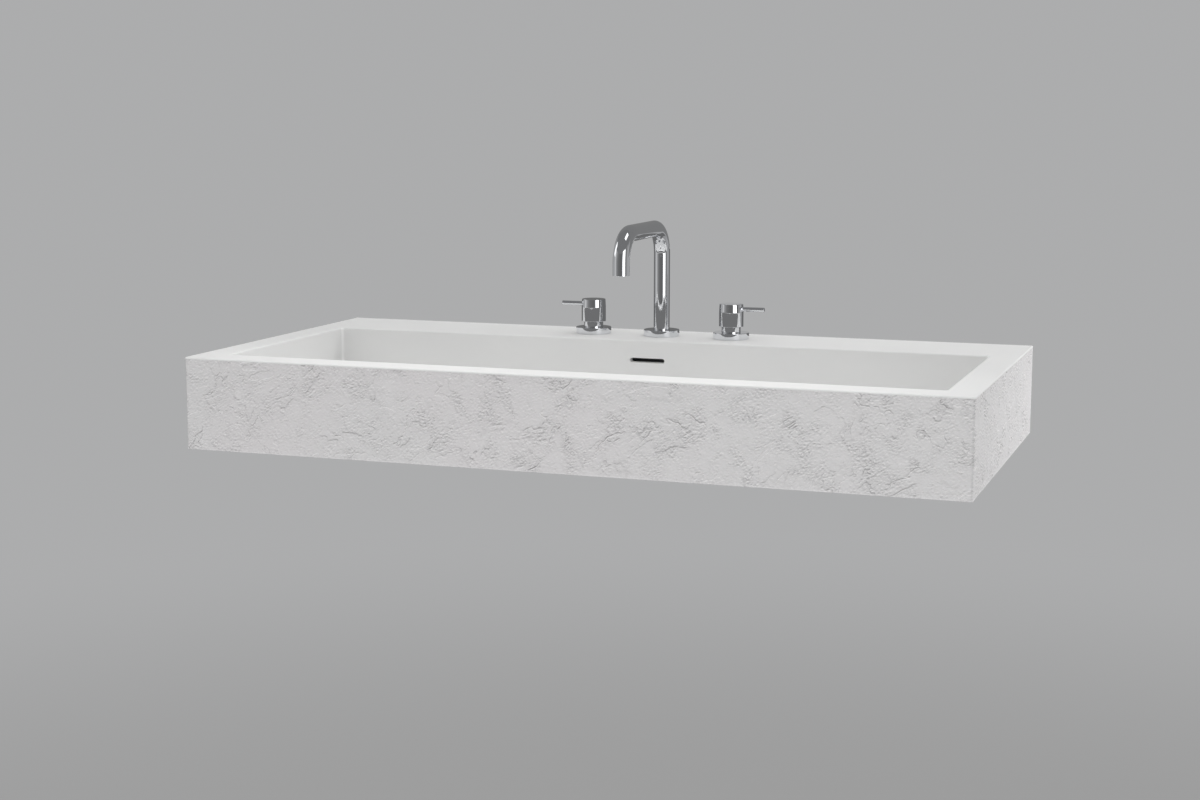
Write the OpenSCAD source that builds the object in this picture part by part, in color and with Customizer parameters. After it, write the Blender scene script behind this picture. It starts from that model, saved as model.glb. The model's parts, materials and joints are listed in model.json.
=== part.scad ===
// Wall-mounted trough sink with a widespread tap: one spout and two lever handles.
// The wall is the plane y = 0, the front faces -Y, +X is to the right and +Z is up.
// The origin is the centre of the four wall bolts. Heights inside the modules count from the deck.

/* [Basin] */
// Overall width
basin_w = 1016; // [860:1:1400]
// Overall depth, from the wall to the front face
basin_d = 495; // [440:1:560]
// Overall height of the apron box
basin_h = 120; // [116:1:170]
// Thickness of the deck and rim slab
deck_t = 12; // [9:0.5:16]
// Width of the rim along the front
rim_front = 44; // [34:1:70]
// Width of the rim at each side
rim_side = 40; // [32:1:70]
// Depth of the deck between the wall and the bowl
rim_back = 128; // [116:1:150]
// Thickness of the bowl's upright walls
bowl_wall = 12; // [8:0.5:16]
// Depth of the bowl at the drain
bowl_depth = 82; // [70:1:86]
// Thickness of the floor at the drain
floor_t = 10; // [8:0.5:13]
// Fall of the floor from each end to the drain
fall_long = 7; // [3:0.5:12]
// Fall of the floor from the front and the back to the drain
fall_short = 3; // [1:0.5:6]
// Radius of the bowl's upright inner corners
corner_r = 5; // [3:0.5:20]
// Size of the slope between the walls and the floor
floor_cove = 8; // [4:0.5:12]

/* [Apron] */
// Thickness of the textured apron panels
apron_t = 12; // [8:0.5:14]
// Length of each block that joins the apron to the bowl
block_len = 60; // [30:1:90]
// Height of each block
block_h = 40; // [20:1:60]
// Distance of the outer front blocks from the middle
block_far = 400; // [340:1:410]
// Distance of the inner front blocks from the middle
block_near = 135; // [60:1:260]
// Distance of the side blocks' centres from the middle of the bowl
block_side = 105; // [50:1:120]

/* [Overflow] */
// Length of the overflow slot
slot_w = 50; // [30:1:70]
// Height of the slot
slot_h = 6; // [5:0.5:9]
// Depth of the slot's centre below the deck
slot_drop = 27.4; // [24:0.1:40]
// Clear depth of the duct behind the wall and under the floor
duct_gap = 9; // [6:0.5:10]
// Thickness of the duct's walls
duct_wall = 3; // [2:0.5:4]
// Room in the duct at each end of the slot and above it
duct_margin = 4; // [2:0.5:8]
// Length of the duct past the drain's centre
duct_past_drain = 34; // [30:1:50]

/* [Wall brackets] */
// Distance between the two rows of wall bolts
bracket_pitch = 660; // [560:1:700]
// Height between the upper and lower wall bolts
bolt_rise = 44; // [36:1:50]
// Depth of the wall bolts' centre below the deck
bolt_drop = 56; // [52:1:58]
// Diameter of the wall bolt holes
bolt_hole_d = 11; // [8:0.5:14]
// Width of a bracket
bracket_w = 50; // [40:1:70]
// Thickness of the bracket's wall plate and arm
bracket_t = 5; // [4:0.5:8]
// Thickness of the bracket's side ribs
rib_t = 4; // [3:0.5:6]
// Reach of the arm under the bowl
arm_reach = 420; // [380:1:430]
// Reach of the upper ribs from the wall
rib_reach = 98; // [60:1:100]
// Depth of the ribs under the arm at its tip
rib_tip = 5; // [2:0.5:10]
// Height of the plate above the upper bolts
plate_margin = 16; // [12:1:18]
// Height of the ribs' foot above the lower edge of the apron
foot_gap = 4; // [2:1:10]
// Distance of the rear floor screw in each arm from the wall
screw_setback = 180; // [150:1:260]
// Distance of the front floor screw from the arm's tip
screw_inset = 30; // [20:1:60]
// Diameter of the floor screws
screw_d = 6; // [5:0.5:8]
// Diameter of their heads
screw_head_d = 11; // [9:0.5:14]
// Height of their heads
screw_head_h = 4; // [3:0.5:6]
// Outer diameter of the threaded inserts in the floor
insert_d = 9; // [8:0.5:12]
// Length of the inserts
insert_len = 9; // [6:0.5:9]

/* [Drain] */
// Diameter of the drain's flange
drain_flange_d = 63; // [60:0.5:70]
// Thickness of the drain's flange
drain_flange_t = 2.5; // [2:0.5:4]
// Gap round the flange in its recess
drain_recess_gap = 1.5; // [0.5:0.5:3]
// Diameter of the drain hole in the floor and in the duct
drain_hole_d = 45; // [43:0.5:48]
// Outer diameter of the drain's thread
drain_thread_d = 41.9; // [41.9:0.1:42.5]
// Diameter of the neck between the flange and the thread
drain_neck_d = 40.4; // [40:0.1:41]
// Inner diameter of the drain body
drain_bore_d = 36; // [33:0.5:37]
// Length of the drain body below the flange's face
drain_len = 75; // [66:1:90]
// Width of the overflow windows in the neck
window_w = 14; // [8:1:18]
// Thickness of the rubber seal under the flange
drain_seal_t = 1; // [0.5:0.5:2]
// Outer diameter of the lower seal, washer and nut seat
drain_washer_d = 58; // [54:1:62]
// Thickness of the lower rubber seal
lower_seal_t = 3; // [2:0.5:5]
// Thickness of the sliding washer
drain_washer_t = 1.5; // [1:0.5:3]
// Width across the flats of the drain nut
drain_nut_af = 50; // [46:1:54]
// Height of the drain nut
drain_nut_h = 9.5; // [7:0.5:12]
// Width of the groove under the nut
groove_w = 2; // [1:0.5:3]
// Depth of that groove
groove_deep = 1; // [0.5:0.1:1.2]
// Depth of the plug guide's foot below the flange's face
guide_drop = 44; // [40:1:48]
// Height of the plug guide
guide_h = 7; // [5:1:10]
// Diameter of the plug guide's boss
guide_d = 15; // [13:1:18]
// Thickness of the guide's arms
guide_arm = 3; // [2:0.5:4]

/* [Plug] */
// Diameter of the plug's cap
plug_d = 58; // [52:1:62]
// Thickness of the plug's cap
plug_t = 3; // [2.5:0.5:4]
// Outer diameter of the plug's rubber seal
plug_seal_d = 46; // [44:1:50]
// Width of the seal
plug_seal_w = 4; // [3:0.5:5]
// Depth of the seal's seat in the flange
plug_seat = 1.5; // [1:0.1:1.8]
// Diameter of the plug's stem
plug_stem_d = 8; // [6:0.5:10]
// Length of stem below the guide
plug_stem_tail = 14; // [10:1:16]

/* [Tap on the deck] */
// Distance from the spout to each handle
tap_pitch = 101.6; // [95:0.1:120]
// Distance from the wall to the taps' centre line
tap_setback = 62; // [52:1:66]
// Diameter of the holes in the deck
tap_hole_d = 35; // [33:0.5:38]
// Diameter of the round flanges
flange_d = 50; // [48:0.5:60]
// Height of the round flanges
flange_h = 9; // [8:0.5:12]
// Thickness of the flange's top
flange_top_t = 3; // [2:0.5:3.5]
// Edge bevel of the flanges and handles
bevel = 0.6; // [0.3:0.1:1.2]
// Diameter of the hidden foot on each tap body
foot_d = 44; // [42:0.5:45]
// Thickness of that foot
foot_t = 4; // [3:0.5:4.5]
// Thickness of the gasket under each foot
gasket_t = 1; // [0.5:0.5:1.5]
// Thickness of the rubber washer under the deck
rubber_t = 2.5; // [1.5:0.5:4]
// Thickness of the steel washer under it
steel_t = 1.5; // [1:0.5:2.5]
// Height of the lock nuts
lock_nut_h = 8; // [6:0.5:10]

/* [Spout] */
// Outer diameter of the spout tube
spout_d = 22.5; // [22:0.5:26]
// Wall thickness of the spout tube
spout_wall = 2; // [1.5:0.5:2.5]
// Height of the spout's top above the deck
spout_top = 164; // [145:1:220]
// Reach from the column to the outlet
spout_reach = 176; // [140:1:190]
// Radius of the bends, at the centre of the tube
spout_bend_r = 38; // [26:1:40]
// Height of the outlet above the deck
outlet_h = 99; // [70:1:100]
// Diameter of the stem that the spout turns on
swivel_d = 16; // [14:0.5:17]
// Diameter of the waterway in that stem
swivel_bore_d = 10; // [6:0.5:10.5]
// Length of the stem inside the tube
swivel_plug = 18; // [12:1:30]
// Depth of the stem below the deck
swivel_deep = 37; // [36:1:42]
// Depth of the upper sealing ring below the deck
ring_upper = 8; // [4:0.5:14]
// Depth of the lower sealing ring below the deck
ring_lower = 22; // [18:0.5:28]
// Thickness of the sealing rings
ring_t = 1.5; // [1.2:0.1:1.8]
// Thickness of the retaining clip
clip_t = 1.2; // [0.8:0.1:2]
// Outer diameter of the clip
clip_d = 20; // [18:0.5:21]
// Metal left below the clip's groove
clip_land = 1.8; // [1:0.1:3]
// Outer diameter of the spout shank
shank_d = 26.4; // [25:0.1:27]
// Length of the shank below the deck
shank_len = 48; // [46:1:52]
// Inner diameter of the shank below the step
shank_bore_d = 22; // [21.5:0.1:22.5]
// Width across the flats of the spout's lock nut
shank_nut_af = 36; // [34:1:40]
// Wall thickness of the aerator's housing
aerator_wall = 1.5; // [1:0.1:2]
// Height of the aerator's housing
aerator_h = 13; // [9:1:14]
// Recess of the aerator in the outlet
aerator_recess = 0.8; // [0.4:0.1:2]
// Number of jets in the aerator's outer ring
jet_count = 12; // [6:2:14]
// Diameter of a jet
jet_d = 1.6; // [1:0.1:2]
// Distance between the rows of jets, as a share of the insert's radius
jet_row = 0.38; // [0.3:0.02:0.42]

/* [Valves] */
// Diameter of the valve body's shank
valve_shank_d = 29; // [28:0.5:31]
// Diameter of the valve body's lower block
valve_block_d = 32; // [31:0.5:35]
// Depth of the block's top below the deck
valve_block_top = 40; // [36:1:43]
// Depth of the block's underside below the deck
valve_block_deep = 76; // [74:1:84]
// Diameter of the valve's upper neck
valve_neck_d = 24; // [23:0.5:25]
// Height of the neck's top above the deck
valve_neck_top = 18; // [15:0.5:20]
// Inner diameter of the valve body
pocket_d = 19.2; // [18:0.1:20]
// Depth of the cartridge's seat below the deck
pocket_deep = 64; // [62.5:0.5:66]
// Length of the cartridge
cartridge_len = 40; // [34:1:46]
// Clearance of the cartridge and gland in the valve body
cartridge_gap = 0.1; // [0.05:0.05:0.2]
// Diameter of the waterway in the cartridge and the inlet
waterway_d = 10; // [7:0.5:12]
// Width and height of each square window in the cartridge
cartridge_window = 8; // [5:0.5:10]
// Outer diameter of the inlet thread
inlet_d = 20.96; // [18:0.01:22]
// Length of the inlet thread
inlet_len = 20; // [15:1:24]
// Bevel at the open end of each thread
thread_bevel = 1; // [0.5:0.1:1.4]
// Diameter of the spindle
spindle_d = 8; // [6:0.5:9]
// Depth of the spindle in the cartridge
spindle_in = 12; // [8:1:15]
// Width across the flats of the gland's head
gland_af = 20; // [17:0.5:20.5]
// Height of the gland's head
gland_head_h = 6; // [4:0.5:8]
// Width across the flats of the valves' lock nuts
valve_nut_af = 38; // [36:1:41]

/* [Handles] */
// Diameter of a handle
handle_d = 34.5; // [34:0.5:44]
// Height of the handle's lower edge above the deck
handle_rise = 17; // [13:0.5:18]
// Height of the handle
handle_h = 31.7; // [29:0.1:40]
// Thickness of the handle's skirt
handle_skirt = 3; // [1.5:0.1:3.2]
// Height of the hollow inside the handle
handle_hollow = 13; // [12:0.5:15]
// Diameter of the fixed collar under the handle
collar_d = 27; // [26:0.5:27.5]
// Height of the collar's top above the deck
collar_top = 22; // [20:0.5:24]
// Diameter of the lever rod
lever_d = 6; // [5:0.1:7]
// Reach of the lever from the handle's centre
lever_reach = 47.5; // [40:0.5:70]
// Depth of the lever below the handle's top
lever_drop = 7.1; // [5:0.1:7.5]
// Length of the lever inside the handle
lever_in = 8.5; // [5:0.5:11]
// Metal between the lever and the top of the spindle
spindle_cover = 1; // [0.5:0.1:2]
// Diameter of the grub screw
grub_d = 4; // [3:0.5:5]
// Length of the grub screw
grub_len = 11; // [7:1:12]
// Width across the flats of its socket
grub_af = 2; // [1.5:0.1:2.5]
// Depth of its socket
grub_socket = 3; // [2:0.5:5]
// Height of the grub screw above the hollow
grub_rise = 3.6; // [3:0.1:4.5]

/* [Pipes] */
// Depth of the connecting pipes below the deck
pipe_drop = 56; // [55:0.5:59]
// Outer diameter of the pipes
pipe_d = 12; // [10:0.5:13]
// Wall thickness of the pipes
pipe_wall = 1.2; // [0.8:0.1:2]
// Outer diameter of the ports
port_d = 18; // [16:0.5:20]
// Reach of the ports from the body's axis
port_reach = 31; // [28:0.5:34]
// Length of pipe inside a port
pipe_in = 8; // [5:0.5:9]
// Width across the flats of the pipe nuts
pipe_nut_af = 22; // [21.5:0.5:24]
// Length of the pipe nuts
pipe_nut_len = 14; // [11:0.5:16]
// Length of a pipe nut on its port
pipe_nut_on = 8; // [5:0.5:8]
// Diameter of the mixing tee
tee_d = 34; // [32:0.5:38]
// Length of the spout's shank inside the tee
tee_in = 12; // [8:1:15]
// Inner diameter of the tee's chamber
tee_bore_d = 20; // [14:0.5:22]
// Thickness of the tee's floor
tee_floor = 4; // [3:0.5:6]

/* [Clearances] */
// Radial clearance of a turning shaft in its bore
running_fit = 0.05; // [0.02:0.01:0.09]
// Gap between parts that move past each other
moving_gap = 0.3; // [0.3:0.05:0.5]
// Gap of a fixed part in its hole
slip_fit = 0.1; // [0.05:0.05:0.2]

/* [Hidden] */
$fn = 64;
// How far a cut runs past the face that it opens
over = 1;
left = -1;
right = 1;

bowl_x = basin_w / 2 - rim_side;
bowl_back = -rim_back;
bowl_front = rim_front - basin_d;
bowl_mid = (bowl_back + bowl_front) / 2;
bowl_half = (bowl_back - bowl_front) / 2;
floor_under = -(bowl_depth + floor_t);
drain_recess = drain_flange_t + drain_seal_t;
duct_x = slot_w / 2 + duct_margin;
duct_top = slot_h / 2 + duct_margin - slot_drop;
duct_end = bowl_mid - duct_past_drain;
duct_under = floor_under - duct_gap - duct_wall;
arm_under = floor_under - bracket_t;
screw_tip = arm_reach - screw_inset;
thread_top = floor_t + duct_gap;
seal_top = thread_top + duct_wall;
nut_top = seal_top + lower_seal_t + drain_washer_t;
nut_under = nut_top + drain_nut_h;
foot_top = gasket_t + foot_t;
spout_r = spout_d / 2;
spout_inner = spout_r - spout_wall;
spout_axis_z = spout_top - spout_r;
spout_base = foot_top + moving_gap;
swivel_bore_r = swivel_d / 2 + running_fit;
clip_top = swivel_deep - clip_land - clip_t;
stack_top = deck_t + rubber_t;
nut_stack = stack_top + steel_t;
handle_top = handle_rise + handle_h;
handle_r = handle_d / 2;
lever_z = handle_top - lever_drop;
hollow_top = handle_rise + handle_hollow;
spindle_top = lever_z - lever_d / 2 - spindle_cover;
gland_bottom = cartridge_len - pocket_deep;
gland_top = valve_neck_top + gland_head_h;
inlet_under = -valve_block_deep - inlet_len;
pipe_inner = pipe_d / 2 - pipe_wall;
tee_under = pipe_drop + tee_bore_d / 2 + tee_floor;

// Height of the floor along the bowl's length, at x from the drain
function floor_long(x) = fall_long * abs(x) / bowl_x - bowl_depth;
// Height of the floor across the bowl, at y from the drain
function floor_short(y) = fall_short * abs(y) / bowl_half - bowl_depth;

module on_deck() translate([0, 0, bolt_drop]) children();
module on_tap(side) on_deck() translate([side * tap_pitch, -tap_setback, 0]) children();
module on_drain() on_deck() translate([0, bowl_mid, -bowl_depth]) children();
module block(low, high) translate(low) cube(high - low);
module turned(outline) rotate_extrude() polygon(outline);
// An outline of [y, z] points carried along X between two places
module along_x(x0, x1, outline)
    translate([x0, 0, 0]) rotate([90, 0, 90]) linear_extrude(x1 - x0) polygon(outline);
// An outline of [x, z] points carried along Y, from y0 down to y1
module along_y(y0, y1, outline)
    translate([0, y0, 0]) rotate([90, 0, 0]) linear_extrude(y0 - y1) polygon(outline);
module ring(outer, inner, z0, z1)
    turned([[inner, z0], [outer, z0], [outer, z1], [inner, z1]]);
// A rod along X from the axis outwards, on either side
module rod_x(side, r, x0, x1)
    translate([side * x0, 0, 0]) rotate([0, side * 90, 0]) cylinder(r = r, h = x1 - x0);
module hex(flats, z0, z1) translate([0, 0, z0]) cylinder(d = flats / cos(30), h = z1 - z0, $fn = 6);
module hex_nut(flats, inner, z0, z1) difference() {
    hex(flats, z0, z1);
    translate([0, 0, z0 - over]) cylinder(r = inner, h = z1 - z0 + 2 * over);
}

// The bowl's hollow: a long and a short section crossed, inside upright rounded corners
module bowl_hollow() intersection() {
    along_y(bowl_back + over, bowl_front - over, [
        [-bowl_x, over], [-bowl_x, floor_long(bowl_x) + floor_cove],
        [floor_cove - bowl_x, floor_long(bowl_x - floor_cove)], [0, -bowl_depth],
        [bowl_x - floor_cove, floor_long(bowl_x - floor_cove)],
        [bowl_x, floor_long(bowl_x) + floor_cove], [bowl_x, over]
    ]);
    along_x(-bowl_x - over, bowl_x + over, [
        [bowl_front, over], [bowl_front, floor_short(bowl_half) + floor_cove],
        [bowl_front + floor_cove, floor_short(bowl_half - floor_cove)], [bowl_mid, -bowl_depth],
        [bowl_back - floor_cove, floor_short(bowl_half - floor_cove)],
        [bowl_back, floor_short(bowl_half) + floor_cove], [bowl_back, over]
    ]);
    translate([0, bowl_mid, -bowl_depth - over]) linear_extrude(bowl_depth + 3 * over) union() {
        square([2 * (bowl_x - corner_r), 2 * bowl_half], center = true);
        square([2 * bowl_x, 2 * (bowl_half - corner_r)], center = true);
        for (x = [left, right] * (bowl_x - corner_r), y = [left, right] * (bowl_half - corner_r))
            translate([x, y]) circle(corner_r);
    }
}

// The rim slab, mitred along its front and side edges to meet the apron
module rim_slab() intersection() {
    along_y(0, -basin_d, [
        [-basin_w / 2, 0], [apron_t - basin_w / 2, -deck_t],
        [basin_w / 2 - apron_t, -deck_t], [basin_w / 2, 0]
    ]);
    along_x(-basin_w / 2, basin_w / 2, [[-basin_d, 0], [apron_t - basin_d, -deck_t], [0, -deck_t], [0, 0]]);
}

// A slot with round ends, cut along Y from y0 down to y1
module slot_shape(y0, y1) translate([0, y0, -slot_drop]) rotate([90, 0, 0]) {
    translate([slot_h / 2 - slot_w / 2, -slot_h / 2, 0]) cube([slot_w - slot_h, slot_h, y0 - y1]);
    for (x = [slot_h / 2 - slot_w / 2, slot_w / 2 - slot_h / 2])
        translate([x, 0, 0]) cylinder(d = slot_h, h = y0 - y1);
}

module at_floor_screws()
    for (side = [left, right], y = [screw_setback, screw_tip])
        translate([side * bracket_pitch / 2, -y, floor_under]) children();

module basin() color("white") on_deck() difference() {
    union() {
        rim_slab();
        block([-bowl_x - bowl_wall, bowl_front - bowl_wall, floor_under],
              [bowl_x + bowl_wall, bowl_back + bowl_wall, -deck_t / 2]);
    }
    bowl_hollow();
    slot_shape(bowl_back + bowl_wall + over, bowl_back - over);
    for (side = [left, 0, right])
        translate([side * tap_pitch, -tap_setback, -deck_t - over])
            cylinder(d = tap_hole_d, h = deck_t + 2 * over);
    translate([0, bowl_mid, floor_under - over]) cylinder(d = drain_hole_d, h = floor_t + 2 * over);
    translate([0, bowl_mid, -bowl_depth - drain_recess])
        cylinder(r = drain_flange_d / 2 + drain_recess_gap, h = drain_recess + 2 * over);
    at_floor_screws() translate([0, 0, -over]) cylinder(d = insert_d, h = insert_len + over);
}

module apron_front() color("silver") on_deck() intersection() {
    along_x(-basin_w / 2, basin_w / 2, [
        [-basin_d, 0], [-basin_d, -basin_h], [apron_t - basin_d, -basin_h], [apron_t - basin_d, -deck_t]
    ]);
    translate([0, 0, -basin_h - over]) linear_extrude(basin_h + 2 * over) polygon([
        [-basin_w / 2, -basin_d], [basin_w / 2, -basin_d],
        [basin_w / 2 - apron_t, apron_t - basin_d], [apron_t - basin_w / 2, apron_t - basin_d]
    ]);
}

module apron_side(side) color("silver") on_deck() intersection() {
    along_y(0, -basin_d, [
        [side * basin_w / 2, 0], [side * basin_w / 2, -basin_h],
        [side * (basin_w / 2 - apron_t), -basin_h], [side * (basin_w / 2 - apron_t), -deck_t]
    ]);
    translate([0, 0, -basin_h - over]) linear_extrude(basin_h + 2 * over) polygon([
        [side * basin_w / 2, -basin_d], [side * basin_w / 2, 0],
        [side * (basin_w / 2 - apron_t), 0], [side * (basin_w / 2 - apron_t), apron_t - basin_d]
    ]);
}

// Blocks that fill the space between the bowl and the apron, under the rim
module support_blocks() color("gainsboro") on_deck() {
    for (x = [-block_far, -block_near, block_near, block_far])
        block([x - block_len / 2, apron_t - basin_d, -deck_t - block_h],
              [x + block_len / 2, bowl_front - bowl_wall, -deck_t]);
    for (turn = [0, 180], y = [-block_side, block_side]) translate([0, bowl_mid, 0]) rotate([0, 0, turn])
        block([bowl_x + bowl_wall, y - block_len / 2, -deck_t - block_h],
              [basin_w / 2 - apron_t, y + block_len / 2, -deck_t]);
}

// An open tray that leads water from the slot down the wall and under the floor to the drain
module overflow_duct() color("dimgray") on_deck() difference() {
    union() {
        block([-duct_x - duct_wall, bowl_back + bowl_wall, duct_under],
              [duct_x + duct_wall, bowl_back + bowl_wall + duct_gap + duct_wall, duct_top + duct_wall]);
        block([-duct_x - duct_wall, duct_end - duct_wall, duct_under],
              [duct_x + duct_wall, bowl_back + bowl_wall + duct_gap, floor_under]);
    }
    block([-duct_x, bowl_back + bowl_wall - over, duct_under + duct_wall],
          [duct_x, bowl_back + bowl_wall + duct_gap, duct_top]);
    block([-duct_x, duct_end, duct_under + duct_wall],
          [duct_x, bowl_back + bowl_wall + duct_gap, floor_under + over]);
    translate([0, bowl_mid, duct_under - over]) cylinder(d = drain_hole_d, h = duct_wall + 2 * over);
}

// A pressed steel bracket: a wall plate and an arm under the bowl, with a rib along each edge
module bracket(side) color("darkgray") on_deck() translate([side * bracket_pitch / 2, 0, 0]) difference() {
    plate_top = bolt_rise / 2 + plate_margin - bolt_drop;
    plate_foot = foot_gap - basin_h;
    union() {
        block([-bracket_w / 2, -bracket_t, plate_foot], [bracket_w / 2, 0, plate_top]);
        block([-bracket_w / 2, -arm_reach, arm_under], [bracket_w / 2, 0, floor_under]);
        for (x = [-bracket_w / 2, bracket_w / 2 - rib_t]) along_x(x, x + rib_t, [
            [0, plate_top], [-bracket_t, plate_top], [-rib_reach, floor_under], [-arm_reach, floor_under],
            [-arm_reach, arm_under - rib_tip], [-bracket_t, plate_foot], [0, plate_foot]
        ]);
    }
    for (z = [-bolt_rise / 2, bolt_rise / 2])
        translate([0, over, z - bolt_drop]) rotate([90, 0, 0])
            cylinder(d = bolt_hole_d, h = bracket_t + 2 * over);
    for (y = [screw_setback, screw_tip])
        translate([0, -y, arm_under - over])
            cylinder(r = screw_d / 2 + slip_fit, h = bracket_t + 2 * over);
}

module bracket_screws() color("silver") on_deck() at_floor_screws() turned([
    [0, -bracket_t - screw_head_h], [screw_head_d / 2, -bracket_t - screw_head_h],
    [screw_head_d / 2, -bracket_t], [screw_d / 2, -bracket_t], [screw_d / 2, insert_len], [0, insert_len]
]);

module threaded_inserts() color("goldenrod") on_deck() at_floor_screws()
    ring(insert_d / 2, screw_d / 2, 0, insert_len);

module drain_body() color("gainsboro") on_drain() {
    difference() {
        turned([
            [drain_bore_d / 2, -drain_len], [drain_thread_d / 2 - thread_bevel, -drain_len],
            [drain_thread_d / 2, thread_bevel - drain_len], [drain_thread_d / 2, -nut_under - groove_w],
            [drain_thread_d / 2 - groove_deep, -nut_under - groove_w],
            [drain_thread_d / 2 - groove_deep, -nut_under], [drain_thread_d / 2, -nut_under],
            [drain_thread_d / 2, -thread_top], [drain_neck_d / 2, -thread_top],
            [drain_neck_d / 2, -drain_flange_t], [drain_flange_d / 2, -drain_flange_t],
            [drain_flange_d / 2, -bevel], [drain_flange_d / 2 - bevel, 0],
            [plug_seal_d / 2 + moving_gap, 0], [plug_seal_d / 2 + moving_gap, -plug_seat],
            [drain_bore_d / 2, -plug_seat]
        ]);
        for (turn = [0, 90]) rotate([0, 0, turn])
            block([-drain_flange_d, -window_w / 2, -thread_top], [drain_flange_d, window_w / 2, -floor_t]);
    }
    difference() {
        union() {
            translate([0, 0, -guide_drop]) cylinder(d = guide_d, h = guide_h);
            intersection() {
                translate([0, 0, -guide_drop]) cylinder(r = (drain_bore_d + drain_neck_d) / 4, h = guide_h);
                for (turn = [45, 135]) rotate([0, 0, turn])
                    block([-drain_bore_d, -guide_arm / 2, -guide_drop],
                          [drain_bore_d, guide_arm / 2, guide_h - guide_drop]);
            }
        }
        translate([0, 0, -guide_drop - over])
            cylinder(r = plug_stem_d / 2 + running_fit, h = guide_h + 2 * over);
    }
}

module drain_upper_seal() color("dimgray") on_drain()
    ring(drain_flange_d / 2, drain_hole_d / 2, -drain_recess, -drain_flange_t);
module drain_lower_seal() color("dimgray") on_drain()
    ring(drain_washer_d / 2, drain_thread_d / 2, -seal_top - lower_seal_t, -seal_top);
module drain_washer() color("ivory") on_drain()
    ring(drain_washer_d / 2, drain_thread_d / 2 + slip_fit, -nut_top, drain_washer_t - nut_top);
module drain_nut() color("goldenrod") on_drain()
    hex_nut(drain_nut_af, drain_thread_d / 2, -nut_under, -nut_top);

module plug_cap() color("gainsboro") on_drain() turned([
    [0, moving_gap], [plug_d / 2, moving_gap], [plug_d / 2, moving_gap + plug_t / 2],
    [plug_seal_d / 2, moving_gap + plug_t], [0, moving_gap + plug_t]
]);
module plug_seal() color("dimgray") on_drain()
    ring(plug_seal_d / 2, plug_seal_d / 2 - plug_seal_w, moving_gap - plug_seat, moving_gap);
module plug_stem() color("goldenrod") on_drain()
    translate([0, 0, -guide_drop - plug_stem_tail])
        cylinder(d = plug_stem_d, h = guide_drop + plug_stem_tail + moving_gap);

// The spout's path, from the foot of the column to the outlet, as a rod of radius r
module spout_rod(r, z0, z1) {
    bend_z = spout_axis_z - spout_bend_r;
    translate([0, 0, z0]) cylinder(r = r, h = bend_z - z0);
    translate([0, -spout_bend_r, bend_z]) rotate([90, 0, 90])
        rotate_extrude(angle = 90) translate([spout_bend_r, 0]) circle(r);
    translate([0, -spout_bend_r, spout_axis_z]) rotate([90, 0, 0])
        cylinder(r = r, h = spout_reach - 2 * spout_bend_r);
    translate([0, spout_bend_r - spout_reach, bend_z]) rotate([90, 0, 90])
        rotate_extrude(angle = 90, start = 90) translate([spout_bend_r, 0]) circle(r);
    translate([0, -spout_reach, z1]) cylinder(r = r, h = bend_z - z1);
}

module spout_tube() color("lightgray") on_tap(0) difference() {
    spout_rod(spout_r, spout_base, outlet_h);
    spout_rod(spout_inner, spout_base - over, outlet_h - over);
}

module spout_stem() color("goldenrod") on_tap(0) difference() {
    turned([
        [swivel_bore_d / 2, -swivel_deep], [swivel_d / 2, -swivel_deep], [swivel_d / 2, spout_base],
        [spout_inner, spout_base], [spout_inner, spout_base + swivel_plug],
        [swivel_bore_d / 2, spout_base + swivel_plug]
    ]);
    for (z = [ring_upper, ring_lower])
        ring(swivel_d, swivel_d / 2 - ring_t, -z - ring_t / 2 - slip_fit, ring_t / 2 + slip_fit - z);
    ring(swivel_d, swivel_d / 2 - ring_t, -clip_top - clip_t, -clip_top);
}

module spout_sealing_rings() color("dimgray") on_tap(0)
    for (z = [ring_upper, ring_lower]) translate([0, 0, -z])
        rotate_extrude() translate([swivel_d / 2 - ring_t / 2, 0]) circle(d = ring_t);

module spout_clip() color("silver") on_tap(0)
    ring(clip_d / 2, swivel_d / 2 - ring_t, -clip_top - clip_t, -clip_top);

module aerator_housing() color("lightgray") on_tap(0) translate([0, -spout_reach, outlet_h + aerator_recess])
    ring(spout_inner, spout_inner - aerator_wall, 0, aerator_h);

module aerator_insert() color("whitesmoke") on_tap(0)
    translate([0, -spout_reach, outlet_h + 2 * aerator_recess]) difference() {
        inner = spout_inner - aerator_wall;
        cylinder(r = inner, h = aerator_h - aerator_recess);
        for (row = [1, 2], k = [0 : row * jet_count / 2 - 1]) rotate([0, 0, 720 * k / (row * jet_count)])
            translate([row * inner * jet_row, 0, -over]) cylinder(d = jet_d, h = aerator_h + over);
    }

// A hollow round flange that covers a tap body's foot
module deck_flange(inner) turned([
    [inner, flange_h - flange_top_t], [foot_d / 2 + moving_gap, flange_h - flange_top_t],
    [foot_d / 2 + moving_gap, 0], [flange_d / 2, 0], [flange_d / 2, flange_h - bevel],
    [flange_d / 2 - bevel, flange_h], [inner, flange_h]
]);

module spout_flange() color("lightgray") on_tap(0) deck_flange(spout_r + moving_gap);

module spout_shank() color("goldenrod") on_tap(0) turned([
    [shank_bore_d / 2, -shank_len], [shank_d / 2, -shank_len], [shank_d / 2, gasket_t],
    [foot_d / 2, gasket_t], [foot_d / 2, foot_top], [swivel_bore_r, foot_top],
    [swivel_bore_r, moving_gap - clip_top], [shank_bore_d / 2, moving_gap - clip_top]
]);

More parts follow.
